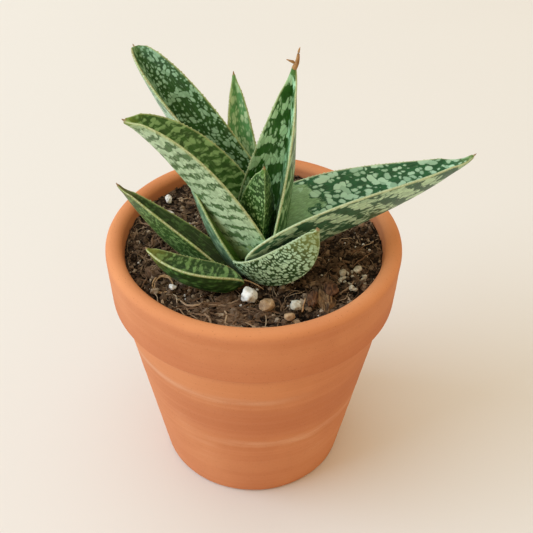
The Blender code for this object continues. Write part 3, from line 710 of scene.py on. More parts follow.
def spotted(f, face, along, across, shift):
    """(share that is pale, colour) of one face of a leaf."""
    place = f.spot(along, across, shift)
    drift = f.parts(f.cloud(f.scaled(place, 0.2, 0.25, 1.0), 1.0, 2.0, 0.5, out=1))
    wander = f.minus(drift[0], 0.5)
    swept = f.plus(f.plus(along, f.times(wander, 4.0)), f.times(f.away(across), face.lean))
    aside = f.plus(across, f.times(f.minus(drift[1], 0.5), 2.5))
    ragged = f.minus(f.cloud(f.scaled(place, 2.4, 2.4, 1.0), 1.0, 2.0, 0.6), 0.5)
    row = f.plus(f.math("DIVIDE", f.plus(swept, f.times(ragged, 0.7)), face.streak[0]), shift * SHIFT_ROWS)
    line = f.plus(f.math("DIVIDE", f.plus(aside, f.times(ragged, 0.5)), face.streak[1]), shift * SHIFT_LINES)
    where = f.spot(row, line)
    distance = f.cells(where, 1.0, CELL_LOOSE, spread="2D")
    seam = f.cells(where, 1.0, CELL_LOOSE, "DISTANCE_TO_EDGE", "2D")
    centre = f.parts(distance.node.outputs["Position"])
    draw = f.put("ShaderNodeSeparateColor", {0: distance.node.outputs["Color"]})
    middle_along = f.times(f.minus(centre[0], shift * SHIFT_ROWS), face.streak[0])
    middle_aside = f.times(f.minus(centre[1], shift * SHIFT_LINES), face.streak[1])
    # most of the choice is made once for each streak, the rest point by point
    field_along = f.plus(f.times(middle_along, 0.6), f.times(swept, 0.4))
    field_aside = f.plus(f.times(middle_aside, 0.6), f.times(aside, 0.4))
    patch = f.cloud(f.spot(f.math("DIVIDE", field_along, face.blotch[0]),
                           f.math("DIVIDE", field_aside, face.blotch[1]), shift), 1.0, 1.0, 0.4)
    phase = f.plus(f.times(field_along, 2 * math.pi / face.period), f.times(wander, 3.0))
    level = f.plus(patch, f.times(f.math("SINE", phase), face.band))
    level = f.plus(level, f.times(f.minus(draw, 0.5), 0.12))
    level = f.plus(level, f.times(ragged, 0.10))
    level = f.plus(level, f.times(f.minus(0.40, distance), face.dots))
    edge = 0.5 + (0.5 - face.fill) * 0.62
    pale_share = f.ramp(level, edge - face.soft, edge + face.soft)
    seams = f.ramp(seam, 0.02, 0.16)
    pale_share = f.times(pale_share, f.plus(f.times(seams, face.gap), 1 - face.gap))
    tone = f.cloud(f.scaled(place, 0.3, 0.45, 1.0), 1.0, 3.0, 0.55)
    deep = [c * 0.82 for c in face.dark]
    light = [min(255, c * 1.05) for c in face.pale]
    dim = [(p * 5 + d) / 6 for p, d in zip(face.pale, face.dark)]
    dark = f.blend(f.ramp(tone, 0.35, 0.65), paint(*deep), paint(*face.dark))
    pale = f.blend(f.ramp(draw.node.outputs[1], 0.0, 0.8), paint(*dim), paint(*light))
    colour = f.blend(pale_share, dark, pale)
    if face.plain:
        edge_place = f.plus(along, f.plus(f.times(ragged, 5.0), f.times(f.minus(draw, 0.5), 8.0)))
        base_share = f.ramp(edge_place, face.plain + 1.2, face.plain - 1.2)
        red, green, blue = [(p * 4 + d) / 5 for p, d in zip(face.pale, face.dark)]
        even = (red, green, blue * 0.87)
        frost = f.cloud(f.scaled(place, 0.5, 2.6, 1.0), 1.0, 3.0, 0.65)
        dull, bright = (paint(*[c * part for c in even]) for part in (0.86, 1.04))
        colour = f.blend(f.times(base_share, 0.92), colour, f.blend(f.ramp(frost, 0.36, 0.66), dull, bright))
        pale_share = f.math("MAXIMUM", pale_share, base_share)
    return pale_share, colour


def leaf_skin(leaf, look):
    """A leaf's finish: two marked faces, pale margins with white teeth, a tinted tip and a dry point."""
    f = Finish(leaf.name + "_skin")
    chart = f.parts(f.put("ShaderNodeUVMap", uv_map="along_across"))
    along = f.times(chart[0], MAP_LENGTH)
    across = f.times(chart[1], MAP_LENGTH)
    trait, to_edge, _ = f.parts(f.put("ShaderNodeUVMap", uv_map="face_edge"))
    outer = f.ramp(trait, 0.35, 0.65)
    edge = f.times(to_edge, EDGE_LENGTH)
    inner_pale, inner_colour = spotted(f, look.inner, along, across, look.shift)
    outer_pale, outer_colour = spotted(f, look.outer, along, across, look.shift + 7)
    colour = f.blend(outer, inner_colour, outer_colour)
    pale = f.put("ShaderNodeMix", {0: outer, 2: inner_pale, 3: outer_pale}, data_type="FLOAT")

    place = f.spot(along, across, look.shift)
    wander = f.minus(f.cloud(f.scaled(place, 0.5, 0.5, 1.0), 1.0, 2.0), 0.5)
    threads = f.cloud(f.scaled(place, 0.12, 2.6, 1.0), 1.0, 3.0, 0.6)
    colour = f.stain(colour, f.ramp(threads, 0.5, 0.75), 0.12, (190, 206, 160))
    end = leaf.length
    tip_share = f.ramp(f.plus(along, f.times(wander, 8.0)), end - look.tip_length, end)
    colour = f.stain(colour, tip_share, 0.75, look.tip)
    ridge = f.times(f.ramp(f.away(across), 0.5, 0.15), outer)
    colour = f.stain(colour, ridge, 0.3, look.margin)
    flank = f.ramp(f.away(trait, 0.5), 0.5, 0.5 - look.wide)
    beside = f.ramp(f.plus(edge, f.times(wander, 0.3)), look.wide * 0.6, 0.0)
    rim = f.math("MAXIMUM", f.times(flank, 0.9), f.times(beside, look.wide))
    dried = f.times(f.ramp(f.cloud(f.scaled(place, 0.16, 0.1, 1.0), 1.0, 3.0), 0.42, 0.62), look.brown)
    border = f.blend(dried, paint(*look.margin), paint(164, 138, 92))
    colour = f.blend(f.times(rim, 0.92), colour, border)
    crest = f.ramp(f.away(trait, 0.5), 0.2, 0.05)
    fleck = f.ramp(f.cloud(f.scaled(place, 1.6, 0.2, 1.0), 1.0, 2.0), 0.4, 0.65)
    colour = f.stain(colour, f.times(crest, fleck), 0.6, (228, 232, 206))
    dry = f.ramp(f.plus(along, f.times(wander, 1.5)), end * BLADE_END - 0.5, end - 0.2)
    colour = f.stain(colour, dry, 0.9, (138, 96, 56))
    grain = f.cloud(f.scaled(place, 3.2, 3.2, 1.0), 1.0, 3.0, 0.6)
    rough = f.plus(f.ramp(grain, 0.3, 0.7, 0.38, 0.52), f.times(pale, 0.06))
    skin = f.bump(grain, 0.12, 0.0002, f.bump(threads, 0.22, 0.0003))
    normal = f.bump(pale, 0.22, 0.00018, skin)
    return f.coat(colour, rough, normal, Specular_IOR_Level=0.3, Coat_Weight=0.05, Coat_Roughness=0.3)


PALE_LEAVES = ("leaf_left", "leaf_front_short")
BLADE_CRISP = 55          # degrees


def make_leaves():
    """Every leaf, fitted among the ones inside it."""
    blades = [grow_leaf(leaf, number + 3) for number, leaf in enumerate(LEAVES)]
    whole = []
    for blade in blades:
        uncut = blade.copy()
        uncut.data = blade.data.copy()
        bpy.context.collection.objects.link(uncut)
        whole.append(uncut)
    for number, blade in enumerate(blades):
        near = [w for w in whole[:number] if boxes_meet(box_of(blade), box_of(w))]
        if near:
            fit_among(blade, near)
    for uncut in whole:
        bpy.data.objects.remove(uncut, do_unlink=True)
    for leaf, blade in zip(LEAVES, blades):
        soften(blade, BLADE_CRISP)
        slot = "leaf_pale_green" if leaf.name in PALE_LEAVES else "leaf_green"
        complete(blade, leaf_skin(leaf, LOOKS[leaf.name]), slot, leaf.name)
    return blades


def box_of(piece):
    """Lowest and highest corners of a piece's mesh."""
    spots = points_of(piece.data)
    return spots.min(axis=0), spots.max(axis=0)


def boxes_meet(first, second):
    """Whether two boxes overlap."""
    return all(first[0][k] < second[1][k] and second[0][k] < first[1][k] for k in range(3))


# Soil

SOIL_LEVEL = 99.2
SOIL_RINGS = 150
SOIL_SEGMENTS = 260
SOIL_RADIUS = 47.9
SOIL_LOWEST = 94.0        # of the surface, beside the stem's hole
SOIL_SIDE = ((47.6, 92.0), (31.0, 11.5), (28.0, 7.4))   # radius and height below the surface
ABOVE = 130.0             # rays look down from here
WALL_INSIDE = 48.2
STRAND_LIMIT = 47.0


def tree_of(*pieces):
    """A search tree over the pieces' faces."""
    form = bmesh.new()
    for piece in pieces:
        form.from_mesh(piece.data)
    tree = BVHTree.FromBMesh(form)
    form.free()
    return tree


def ground_hit(ground, x, y):
    """Where the ground's surface is under a place from the axis, in metres, or None."""
    return ground.ray_cast(from_axis(x, y, ABOVE), Vector((0, 0, -1)), 0.1)[0]


def soil_top(ground, x, y):
    """Height of the ground's surface at a place from the axis, in mm."""
    hit = ground_hit(ground, x, y)
    return hit.z / MM if hit is not None else SOIL_LEVEL


def make_soil_bed(ground):
    """The soil's body: the solid's own surface, broken into clods and pits, with its side and foot."""
    turns = [2 * math.pi * (j % SOIL_SEGMENTS) / SOIL_SEGMENTS for j in range(SOIL_SEGMENTS + 1)]
    rows = []
    for i in range(SOIL_RINGS + 1):
        radius = SOIL_RADIUS * i / SOIL_RINGS
        row = []
        for turn in turns:
            x = radius * math.cos(turn)
            y = radius * math.sin(turn)
            base = max(soil_top(ground, x * 0.995, y * 0.995), SOIL_LOWEST)
            clod = noise.noise(Vector((x / 2.6, y / 2.6, 1.3))) * 0.9
            crumb = abs(noise.noise(Vector((x / 0.9, y / 0.9, 4.4)))) * 0.9
            grit = noise.noise(Vector((x / 0.42, y / 0.42, 7.7))) * 0.22
            row.append(from_axis(x, y, base - 0.9 + clod * 0.8 + crumb * 0.9 + grit))
        rows.append(row)
    for radius, height in SOIL_SIDE:
        rows.append([from_axis(radius * math.cos(turn), radius * math.sin(turn), height) for turn in turns])
    return roll_up("soil_bed", rows)


def chip_flat(spots, seed, cuts, depth):
    """Presses a lump's points, given from its middle, in to a few planes round it, which gives flat faces."""
    draw = random.Random(seed)
    reach = np.linalg.norm(spots, axis=1).max()
    for _ in range(cuts):
        away = np.array([draw.gauss(0, 1) for _ in range(3)])
        away /= np.linalg.norm(away)
        limit = reach * draw.uniform(*depth)
        over = np.maximum(spots @ away - limit, 0.0)
        spots = spots - over[:, None] * away
    return spots


def rough_lump(detail, seed, squash=(1.0, 1.0, 1.0), bite=0.35):
    """(points, faces) of a lump about 1 across, knocked out of round and chipped flat in places."""
    let_go()
    bpy.ops.mesh.primitive_ico_sphere_add(subdivisions=detail, radius=0.5)
    lump = bpy.context.object
    offset = Vector((seed * 3.7, seed * 1.3, seed * 2.9))
    points = []
    for vert in lump.data.vertices:
        push = 1 + bite * 2 * noise.noise(vert.co * 3.4 + offset)
        points.append([vert.co[k] * push * squash[k] for k in range(3)])
    faces = [list(face.vertices) for face in lump.data.polygons]
    bpy.data.objects.remove(lump, do_unlink=True)
    return chip_flat(np.array(points), seed, 7, (0.45, 0.8)), np.array(faces)


def join_copies(name, copies):
    """One piece of many copies, each (points, faces, tone). The tone goes to the attribute of that name."""
    points = []
    faces = []
    tones = []
    start = 0
    for spots, sides, tone in copies:
        points.append(spots)
        faces += (sides + start).tolist()
        tones.append(np.full(len(spots), tone))
        start += len(spots)
    mesh = bpy.data.meshes.new(name)
    mesh.from_pydata(np.concatenate(points), [], faces)
    layer = mesh.attributes.new("tone", "FLOAT", "POINT")
    layer.data.foreach_set("value", np.concatenate(tones))
    piece = bpy.data.objects.new(name, mesh)
    bpy.context.collection.objects.link(piece)
    mesh.update()
    return piece


def lay(name, copies, material, slot):
    """The copies as one piece, complete."""
    piece = join_copies(name, copies)
    complete(piece, material, slot)
    return piece


def turned(draw, lean=math.pi):
    """A random turn: any heading, leaning by no more than lean."""
    heading = Matrix.Rotation(draw.uniform(0, 2 * math.pi), 3, "Z")
    tilt = Matrix.Rotation(draw.uniform(-lean, lean), 3, "X")
    return np.array(heading @ tilt @ Matrix.Rotation(draw.uniform(0, 2 * math.pi), 3, "Z"))


def clear_spot(leaves, spot, room):
    """Whether a place keeps that distance from every leaf."""
    return leaves.find_nearest(spot, room)[0] is None


def clear_path(leaves, path, room):
    """Whether a strand's path, in mm, keeps that many mm from every leaf."""
    return all(clear_spot(leaves, from_axis(*p), room * MM) for p in path[::3])


def scatter(draw, count, reach, sizes, lumps, bed, leaves, lean=math.pi, sink=0.25, middle=(0.0, 0.0)):
    """Lumps laid on the bed at random places round the middle, none of them in a leaf or in the wall."""
    copies = []
    tries = 0
    while len(copies) < count and tries < count * 3:
        tries += 1
        radius = reach * math.sqrt(draw.random())
        turn = draw.uniform(0, 2 * math.pi)
        size = sizes[0] * (sizes[1] / sizes[0]) ** (draw.random() ** 1.7)
        radius = min(radius, WALL_INSIDE - size * 0.5)
        x = middle[0] + radius * math.cos(turn)
        y = middle[1] + radius * math.sin(turn)
        spots, sides = lumps[draw.randrange(len(lumps))]
        pose = turned(draw, lean)
        hit = ground_hit(bed, x, y)
        if hit is None:
            continue
        shaped = (spots @ pose.T) * size
        lift = -shaped[:, 2].min() * (1 - 2 * sink)
        seat = hit + Vector((0, 0, lift * MM))
        if not clear_spot(leaves, seat, size * 0.5 * MM):
            continue
        copies.append((shaped * MM + np.array(seat), sides, draw.random()))
    return copies


def strand(draw, start, heading, length, radius, bed, curl, sides=5, steps=12):
    """(points, faces, path) of one thin root or fibre that wanders over the bed. The path is in mm."""
    path = []
    x, y = start
    for i in range(steps + 1):
        lift = radius + 0.25 + 0.55 * math.sin(math.pi * i / steps) * draw.uniform(0.3, 1.6)
        path.append(Vector((x, y, soil_top(bed, x, y) + lift)))
        heading += draw.uniform(-0.4, 0.4) + curl / steps
        x += math.cos(heading) * length / steps
        y += math.sin(heading) * length / steps
        far = math.hypot(x, y)
        if far > STRAND_LIMIT:
            x, y = x * STRAND_LIMIT / far, y * STRAND_LIMIT / far
    for i in range(1, steps):
        path[i].z = (path[i - 1].z + path[i].z * 2 + path[i + 1].z) / 4
    points = []
    for i, p in enumerate(path):
        ahead = (path[min(i + 1, steps)] - path[max(i - 1, 0)]).normalized()
        side = ahead.cross(Vector((0, 0, 1))).normalized()
        up = side.cross(ahead)
        wide = radius * (0.35 + 0.65 * math.sin(math.pi * (0.08 + 0.84 * i / steps)))
        for k in range(sides):
            turn = 2 * math.pi * k / sides
            points.append(from_axis(*(p + side * (wide * math.cos(turn)) + up * (wide * math.sin(turn)))))
    faces = []
    for i in range(steps):
        for k in range(sides):
            a = i * sides + k
            b = i * sides + (k + 1) % sides
            faces.append((a, b, b + sides))
            faces.append((a, b + sides, a + sides))
    for k in range(1, sides - 1):
        faces.append((0, k + 1, k))
        top = steps * sides
        faces.append((top, top + k, top + k + 1))
    return np.array([list(p) for p in points]), np.array(faces), path


def earth(name, low, high, light, toned=True, rough=(0.85, 0.97)):
    """Crumbly organic stuff with a few light flecks. Where toned, each crumb has its own tone."""
    f = Finish(name)
    own = f.own()
    grain = f.cloud(own, 1400.0, 4.0, 0.7)
    clouds = f.cloud(own, 160.0, 3.0, 0.6)
    colour = f.blend(f.ramp(clouds, 0.3, 0.7), paint(*low), paint(*high))
    if toned:
        tone = f.put("ShaderNodeAttribute", out=2, attribute_name="tone")
        colour = f.blend(f.ramp(tone, 0.35, 1.0), colour, paint(*high))
        colour = f.blend(f.ramp(tone, 0.8, 1.0), colour, paint(*light))
    colour = f.stain(colour, f.ramp(grain, 0.56, 0.76), 0.55, light)
    colour = f.stain(colour, f.ramp(grain, 0.44, 0.26), 0.6, [c * 0.4 for c in low])
    return f.coat(colour, f.ramp(grain, 0.3, 0.7, *rough), f.bump(grain, 0.7, 0.0005), Specular_IOR_Level=0.1)


# Larger chips: place from the axis, length, width and height in mm, and heading in degrees
LARGE_CHIPS = [
    ((-9.4, -30.6), (6.4, 4.0, 2.8), 15), ((-6.2, -40.4), (5.0, 4.0, 2.8), 40),
    ((-36.0, -17.6), (7.0, 4.4, 3.2), -20), ((24.6, -21.8), (5.6, 4.0, 2.6), 25),
]
BARK_SLAB = ((25.2, -31.6), (6.2, 11.5, 4.6), 6)
PUMICE_ASIDE = (3.5, -2.0)     # the crumbled heap's middle, from that of the lump it lies by
FIBRES = 620
CROWDED_FROM = 12.0            # right of here only every other fibre is laid
SHREDS = 190
SHREDS_IN_WAD = 110
WAD_MIDDLE = (-9.0, -41.0)
WAD_BEND = 42.0


def large_chip(seed, bite, chip, lift, tone, bed):
    """One of the larger chips, seated on the bed."""
    place, size, heading = chip
    spots, sides = rough_lump(3, seed, (1, 1, 1), bite)
    turn = np.array(Matrix.Rotation(math.radians(heading), 3, "Z"))
    seat = from_axis(*place, soil_top(bed, *place) + lift)
    return (spots * np.array(size) @ turn.T) * MM + np.array(seat), sides, tone


def make_soil(leaves):
    """The bed, and on it crumbs, chips of bark, grains of perlite, roots and shreds. Gives the bed's tree."""
    body = make_soil_bed(tree_of(NODES["potting_soil"]))
    dark = earth("dark_soil", (12, 8, 5), (64, 50, 38), (132, 112, 92), False)
    complete(body, dark, "soil", "potting_soil")
    bed = tree_of(body)
    draw = random.Random(41)
    fine = [rough_lump(1, k, (1, 1, 0.8), 0.3) for k in range(6)]
    round_lumps = [rough_lump(2, k + 9, (1, 0.85, 0.7), 0.38) for k in range(6)]
    flat = [rough_lump(2, k + 20, (1, 0.42, 0.22), 0.3) for k in range(6)]
    crumbs = scatter(draw, 4200, 48.0, (0.7, 1.9), fine, bed, leaves)
    crumbs += scatter(draw, 620, 47.6, (1.5, 3.4), round_lumps, bed, leaves)
    lay("soil_crumbs", crumbs, earth("soil_crumb", (18, 12, 8), (110, 89, 70), (172, 152, 128)), "soil")
    chips = scatter(draw, 560, 46.5, (2.0, 6.0), flat, bed, leaves, lean=0.5)
    chips += [large_chip(number + 60, 0.55, chip, chip[1][2] * 0.22, 0.30 + 0.08 * number, bed)
              for number, chip in enumerate(LARGE_CHIPS)]
    slab = large_chip(60, 0.5, BARK_SLAB, 1.3, 0.5, bed)
    lay("bark_slab", [slab], bark_finish("bark_slab_skin", (60, 43, 30), (150, 118, 82)), "bark")
    lay("bark_chips", chips, earth("bark_chip", (44, 31, 22), (122, 97, 75), (190, 164, 136)), "bark")
    grains = scatter(draw, 170, 46.5, (0.4, 1.5), fine, bed, leaves, sink=0.1)
    lay("perlite_grains", grains, perlite_finish("perlite_grain"), "perlite")
    low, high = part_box("perlite_right_a")
    heap = ((low[0] + high[0]) / 2 - AXIS_X, (low[1] + high[1]) / 2 - AXIS_Y)
    heap = (heap[0] / MM + PUMICE_ASIDE[0], heap[1] / MM + PUMICE_ASIDE[1])
    pumice = scatter(draw, 34, 5.0, (0.9, 2.8), round_lumps, bed, leaves, sink=0.1, middle=heap)
    crumbly = perlite_finish("pumice_crumb", (228, 224, 208), (170, 162, 140))
    lay("crumbled_pumice", pumice, crumbly, "perlite")
    fibres = []
    for number in range(FIBRES):
        radius = 46.0 * math.sqrt(draw.random())
        turn = draw.uniform(0, 2 * math.pi)
        spot = (radius * math.cos(turn), radius * math.sin(turn))
        thick = draw.uniform(0.06, 0.17)
        points, sides, path = strand(draw, spot, draw.uniform(0, 6.28), draw.uniform(4, 15), thick, bed,
                                     draw.uniform(-2.5, 2.5))
        crowded = spot[0] > CROWDED_FROM and number % 2
        if not crowded and clear_path(leaves, path, 0.4):
            fibres.append((points, sides, draw.random()))
    root = earth("root_fibre", (84, 64, 48), (160, 134, 106), (206, 184, 154))
    soften(lay("soil_fibres", fibres, root, "soil"))
    make_shreds(bed, leaves)
    return bed


def make_shreds(bed, leaves):
    """Shreds of bark: a wad of them along the wall in front, and some more over the bed."""
    draw = random.Random(52)
    shreds = []
    for number in range(SHREDS):
        long = draw.uniform(6, 15)
        if number < SHREDS_IN_WAD:
            x = draw.gauss(WAD_MIDDLE[0], 8.0)
            y = WAD_MIDDLE[1] + draw.uniform(-4.5, 6.0)
            heading = x / WAD_BEND + draw.uniform(-0.35, 0.35)
        else:
            radius = 44.0 * math.sqrt(draw.random())
            turn = draw.uniform(0, 2 * math.pi)
            x, y, heading = radius * math.cos(turn), radius * math.sin(turn), draw.uniform(0, 6.28)
        start = (x - long / 2 * math.cos(heading), y - long / 2 * math.sin(heading))
        points, sides, path = strand(draw, start, heading, long, draw.uniform(0.16, 0.42), bed,
                                     draw.uniform(-0.3, 0.8))
        if clear_path(leaves, path, 0.6):
            shreds.append((points, sides, draw.random()))
    woody = earth("bark_shred", (52, 37, 27), (128, 100, 76), (186, 158, 128))
    soften(lay("bark_shreds", shreds, woody, "bark"))


def perlite_finish(name, white=(246, 244, 238), grey=(196, 191, 180)):
    """Puffed white grit, pitted and a little dusty."""
    f = Finish(name)
    own = f.own()
    dust = f.cloud(own, 260.0, 4.0, 0.6)
    pit = f.ramp(f.cells(own, 700.0), 0.3, 0.08)
    colour = f.blend(f.ramp(dust, 0.35, 0.7), paint(*grey), paint(*white))
    colour = f.stain(colour, pit, 0.5, [c * 0.62 for c in grey])
    colour = f.stain(colour, f.ramp(dust, 0.42, 0.3), 0.5, (140, 112, 86))
    normal = f.bump(pit, 0.6, -0.0004, f.bump(dust, 0.5, 0.0005))
    return f.coat(colour, 0.9, normal, Specular_IOR_Level=0.25)


def stone_finish():
    """A brown pebble with paler grains and darker veins."""
    f = Finish("pebble")
    own = f.own()
    clouds = f.cloud(own, 320.0, 5.0, 0.65)
    colour = f.blend(f.ramp(clouds, 0.32, 0.7), paint(116, 89, 62), paint(192, 160, 122))
    colour = f.stain(colour, f.ramp(f.cells(own, 1300.0), 0.3, 0.1), 0.4, (205, 184, 160))
    rough = f.ramp(clouds, 0.3, 0.7, 0.6, 0.85)
    return f.coat(colour, rough, f.bump(clouds, 0.5, 0.0005), Specular_IOR_Level=0.3)


def bark_finish(name="bark_piece_skin", dark=(48, 30, 20), light=(118, 82, 56)):
    """Rough dark bark, ridged along its length."""
    f = Finish(name)
    own = f.own()
    ridges = f.cloud(f.scaled(own, 1500.0, 300.0, 600.0), 1.0, 4.0, 0.65)
    clouds = f.cloud(own, 300.0, 4.0, 0.6)
    colour = f.blend(f.ramp(ridges, 0.35, 0.68), paint(*dark), paint(*light))
    colour = f.stain(colour, f.ramp(clouds, 0.55, 0.75), 0.6, (160, 120, 84))
    normal = f.bump(ridges, 0.8, 0.0006, f.bump(clouds, 0.5, 0.0006))
    return f.coat(colour, 0.85, normal, Specular_IOR_Level=0.22)


LOOSE = {
    "perlite_large": "perlite", "perlite_grey": "perlite", "perlite_right_a": "perlite",
    "perlite_right_b": "perlite", "perlite_left": "perlite", "perlite_back_a": "perlite",
    "perlite_back_b": "perlite", "stone_round": "brown_stone", "stone_small": "brown_stone",
    "bark_curved": "bark", "bark_upright": "bark",
}
GREYISH = ("perlite_grey", "perlite_right_a", "perlite_right_b")
PITTED = {"perlite": 0.22, "brown_stone": 0.2, "bark": 0.25}     # depth of the broken surface, in mm
LUMP_CRISP = 50           # degrees


def make_loose_pieces():
    """Each loose piece: its solid's form, cut finer, chipped flat and given a broken surface."""
    finishes = {"perlite": perlite_finish("perlite_lump"), "brown_stone": stone_finish(),
                "bark": bark_finish()}
    grey = perlite_finish("pumice_lump", (222, 218, 204), (158, 150, 130))
    for number, (node, slot) in enumerate(LOOSE.items()):
        mesh = NODES[node].data.copy()
        piece = bpy.data.objects.new(node + "_lump", mesh)
        bpy.context.collection.objects.link(piece)
        take(piece)
        bpy.ops.object.mode_set(mode="EDIT")
        bpy.ops.mesh.select_all(action="SELECT")
        bpy.ops.mesh.remove_doubles(threshold=CORNER_GAP)
        bpy.ops.mesh.subdivide(number_cuts=4, smoothness=0.4)
        bpy.ops.mesh.vertices_smooth(factor=0.5, repeat=2)
        bpy.ops.object.mode_set(mode="OBJECT")
        spots = points_of(mesh)
        middle = (spots.min(axis=0) + spots.max(axis=0)) / 2
        half = (spots.max(axis=0) - spots.min(axis=0)) / 2
        shaped = chip_flat((spots - middle) / half, number + 31, 12, (0.62, 0.9)) * half + middle
        mesh.vertices.foreach_set("co", shaped.ravel())
        mesh.update()
        for vert in mesh.vertices:
            spot = vert.co / MM
            push = noise.noise(spot / 0.9 + Vector((number, 0, 0))) + 0.6 * noise.noise(spot / 0.4)
            if slot == "bark":
                groove = Vector((spot.x * 1.5, spot.y * 0.25, spot.z * 0.6 + number))
                push += 2.2 * abs(noise.noise(groove)) - 0.8
            vert.co += vert.normal * push * PITTED[slot] * MM
        soften(piece, LUMP_CRISP)
        complete(piece, grey if node in GREYISH else finishes[slot], slot, node)


def thread(name, path, wide, sides=7, taper=0.5):
    """A round strand through the places in path, in mm from the axis, closed at both ends."""
    rows = []
    last = len(path) - 1
    for i, p in enumerate(path):
        ahead = (path[min(i + 1, last)] - path[max(i - 1, 0)]).normalized()
        side = ahead.cross(Vector((0.1, 0.2, 1))).normalized()
        up = side.cross(ahead)
        radius = wide * (1 - taper * i / last) * (0.5 if i in (0, last) else 1.0)
        row = []
        for j in range(sides + 1):
            turn = 2 * math.pi * j / sides
            row.append(from_axis(*(p + side * (radius * math.cos(turn)) + up * (radius * math.sin(turn)))))
        rows.append(row)
    return roll_up(name, rows)


ROOT_SPOT = (-32.0, -23.0)
ROOT_POINTS = 60
TWIG_FOOT = (16.6, -39.0, 100.9)
FIBRE_START = (-3.6, -24.4, 103.2)


def make_roots(bed):
    """The curled root at the left, a twig in front and the dry fibre by the front left leaf."""
    tan = earth("dry_root", (158, 120, 82), (212, 176, 132), (232, 204, 166), False)
    loop = []
    for i in range(ROOT_POINTS + 1):
        share = i / ROOT_POINTS
        turn = 2 * math.pi * (1.75 * share + 0.1)
        radius = 3.5 + 0.5 * math.sin(7 * share)
        x = ROOT_SPOT[0] + radius * math.cos(turn)
        y = ROOT_SPOT[1] + radius * 1.15 * math.sin(turn)
        loop.append(Vector((x, y, soil_top(bed, x, y) + 0.7 + 0.4 * math.sin(turn + 0.6) + 0.5 * share)))
    for i in range(1, ROOT_POINTS):
        loop[i].z = (loop[i - 1].z + loop[i].z + loop[i + 1].z) / 3
    x, y, z = TWIG_FOOT
    twig = [Vector((x + 0.12 * i + 0.1 * math.sin(i), y + 0.5 * i, z + 0.2 * i)) for i in range(11)]
    x, y, z = FIBRE_START
    fibre = [Vector((x + 0.55 * i, y - 0.02 * (i - 5) ** 2 - 0.16 * i, z - 0.15 * i)) for i in range(14)]
    for name, path, wide in (("curled_root", loop, 0.36), ("small_twig", twig, 0.34),
                             ("dry_fibre", fibre, 0.3)):
        complete(thread(name, path, wide), tan, "soil")


def make_dry_tip():
    """The brown shred that the tall leaf's tip has dried to, with a barb at its side."""
    leaf = LEAVES[1]
    _, last, along, side, up = leaf_stations(leaf)[-1]
    reach = leaf.spine + leaf.length * (1 - BLADE_END)
    tall = [last + along * (reach * (i / 16 - 0.12)) + side * (0.35 * math.sin(i / 3.0))
            + up * (0.3 * math.cos(i / 4)) + Vector((0.11 * i, 0, 0.02 * i))
            for i in range(17)]
    barb = [last + along * (1.4 + 0.16 * i) - Vector((0.34 * i, 0.05 * i, 0)) for i in range(9)]
    brown = earth("dry_leaf", (146, 104, 66), (196, 152, 102), (220, 184, 138), False, (0.6, 0.8))
    for name, path, wide in (("dry_tip", tall, 1.0), ("dry_barb", barb, 0.62)):
        complete(thread(name, path, wide, 9, 0.8), brown, "leaf_green")


# Papery remains of old leaves round the stem: place from the axis, heading, width and length in mm
SCALES = [
    ((-7.5, -18.0, 101.0), 150, 4.2, 7.0), ((-5.2, -21.5, 101.2), 195, 4.0, 6.0),
    ((-9.0, -15.5, 100.9), 120, 3.6, 6.0), ((-2.5, -23.5, 101.0), 235, 3.4, 5.0),
    ((8.0, -16.0, 100.8), -20, 4.4, 6.0), ((4.0, -7.0, 100.8), 70, 4.0, 6.0),
    ((-3.0, -7.5, 100.8), 110, 4.2, 6.0),
]
SCALE_ROWS = 14
SCALE_SIDES = 20
SCALE_THICKNESS = 0.32


def make_scales():
    """Thin brown scales that curl up round the foot of the leaves."""
    finish = earth("dry_scale", (84, 58, 36), (150, 112, 74), (190, 154, 112), False, (0.65, 0.85))
    for number, (place, heading, wide, long) in enumerate(SCALES):
        course = math.radians(heading)
        out = Vector((math.cos(course), math.sin(course), 0))
        side = Vector((-out.y, out.x, 0))
        rows = []
        for i in range(SCALE_ROWS + 1):
            share = i / SCALE_ROWS
            row = []
            half = wide / 2 * math.sin(math.pi * (0.12 + 0.8 * share)) ** 0.6
            for j in range(SCALE_SIDES + 1):
                turn = 2 * math.pi * (j % SCALE_SIDES) / SCALE_SIDES
                across = math.cos(turn)
                thick = SCALE_THICKNESS / 2 * math.sin(turn)
                curl = 0.22 * wide * across * across
                wave = noise.noise(Vector((share * 3, across * 1.5, number))) * 0.5
                rise = Vector((0, 0, thick + curl + wave + 1.4 * share * share - 0.8))
                row.append(from_axis(*(Vector(place) + out * (share * long) + side * (half * across) + rise)))
            rows.append(row)
        complete(roll_up("dry_scale_%d" % (number + 1), rows), finish, "bark")


STEM_ROWS = 60
STEM_SIDES = 48


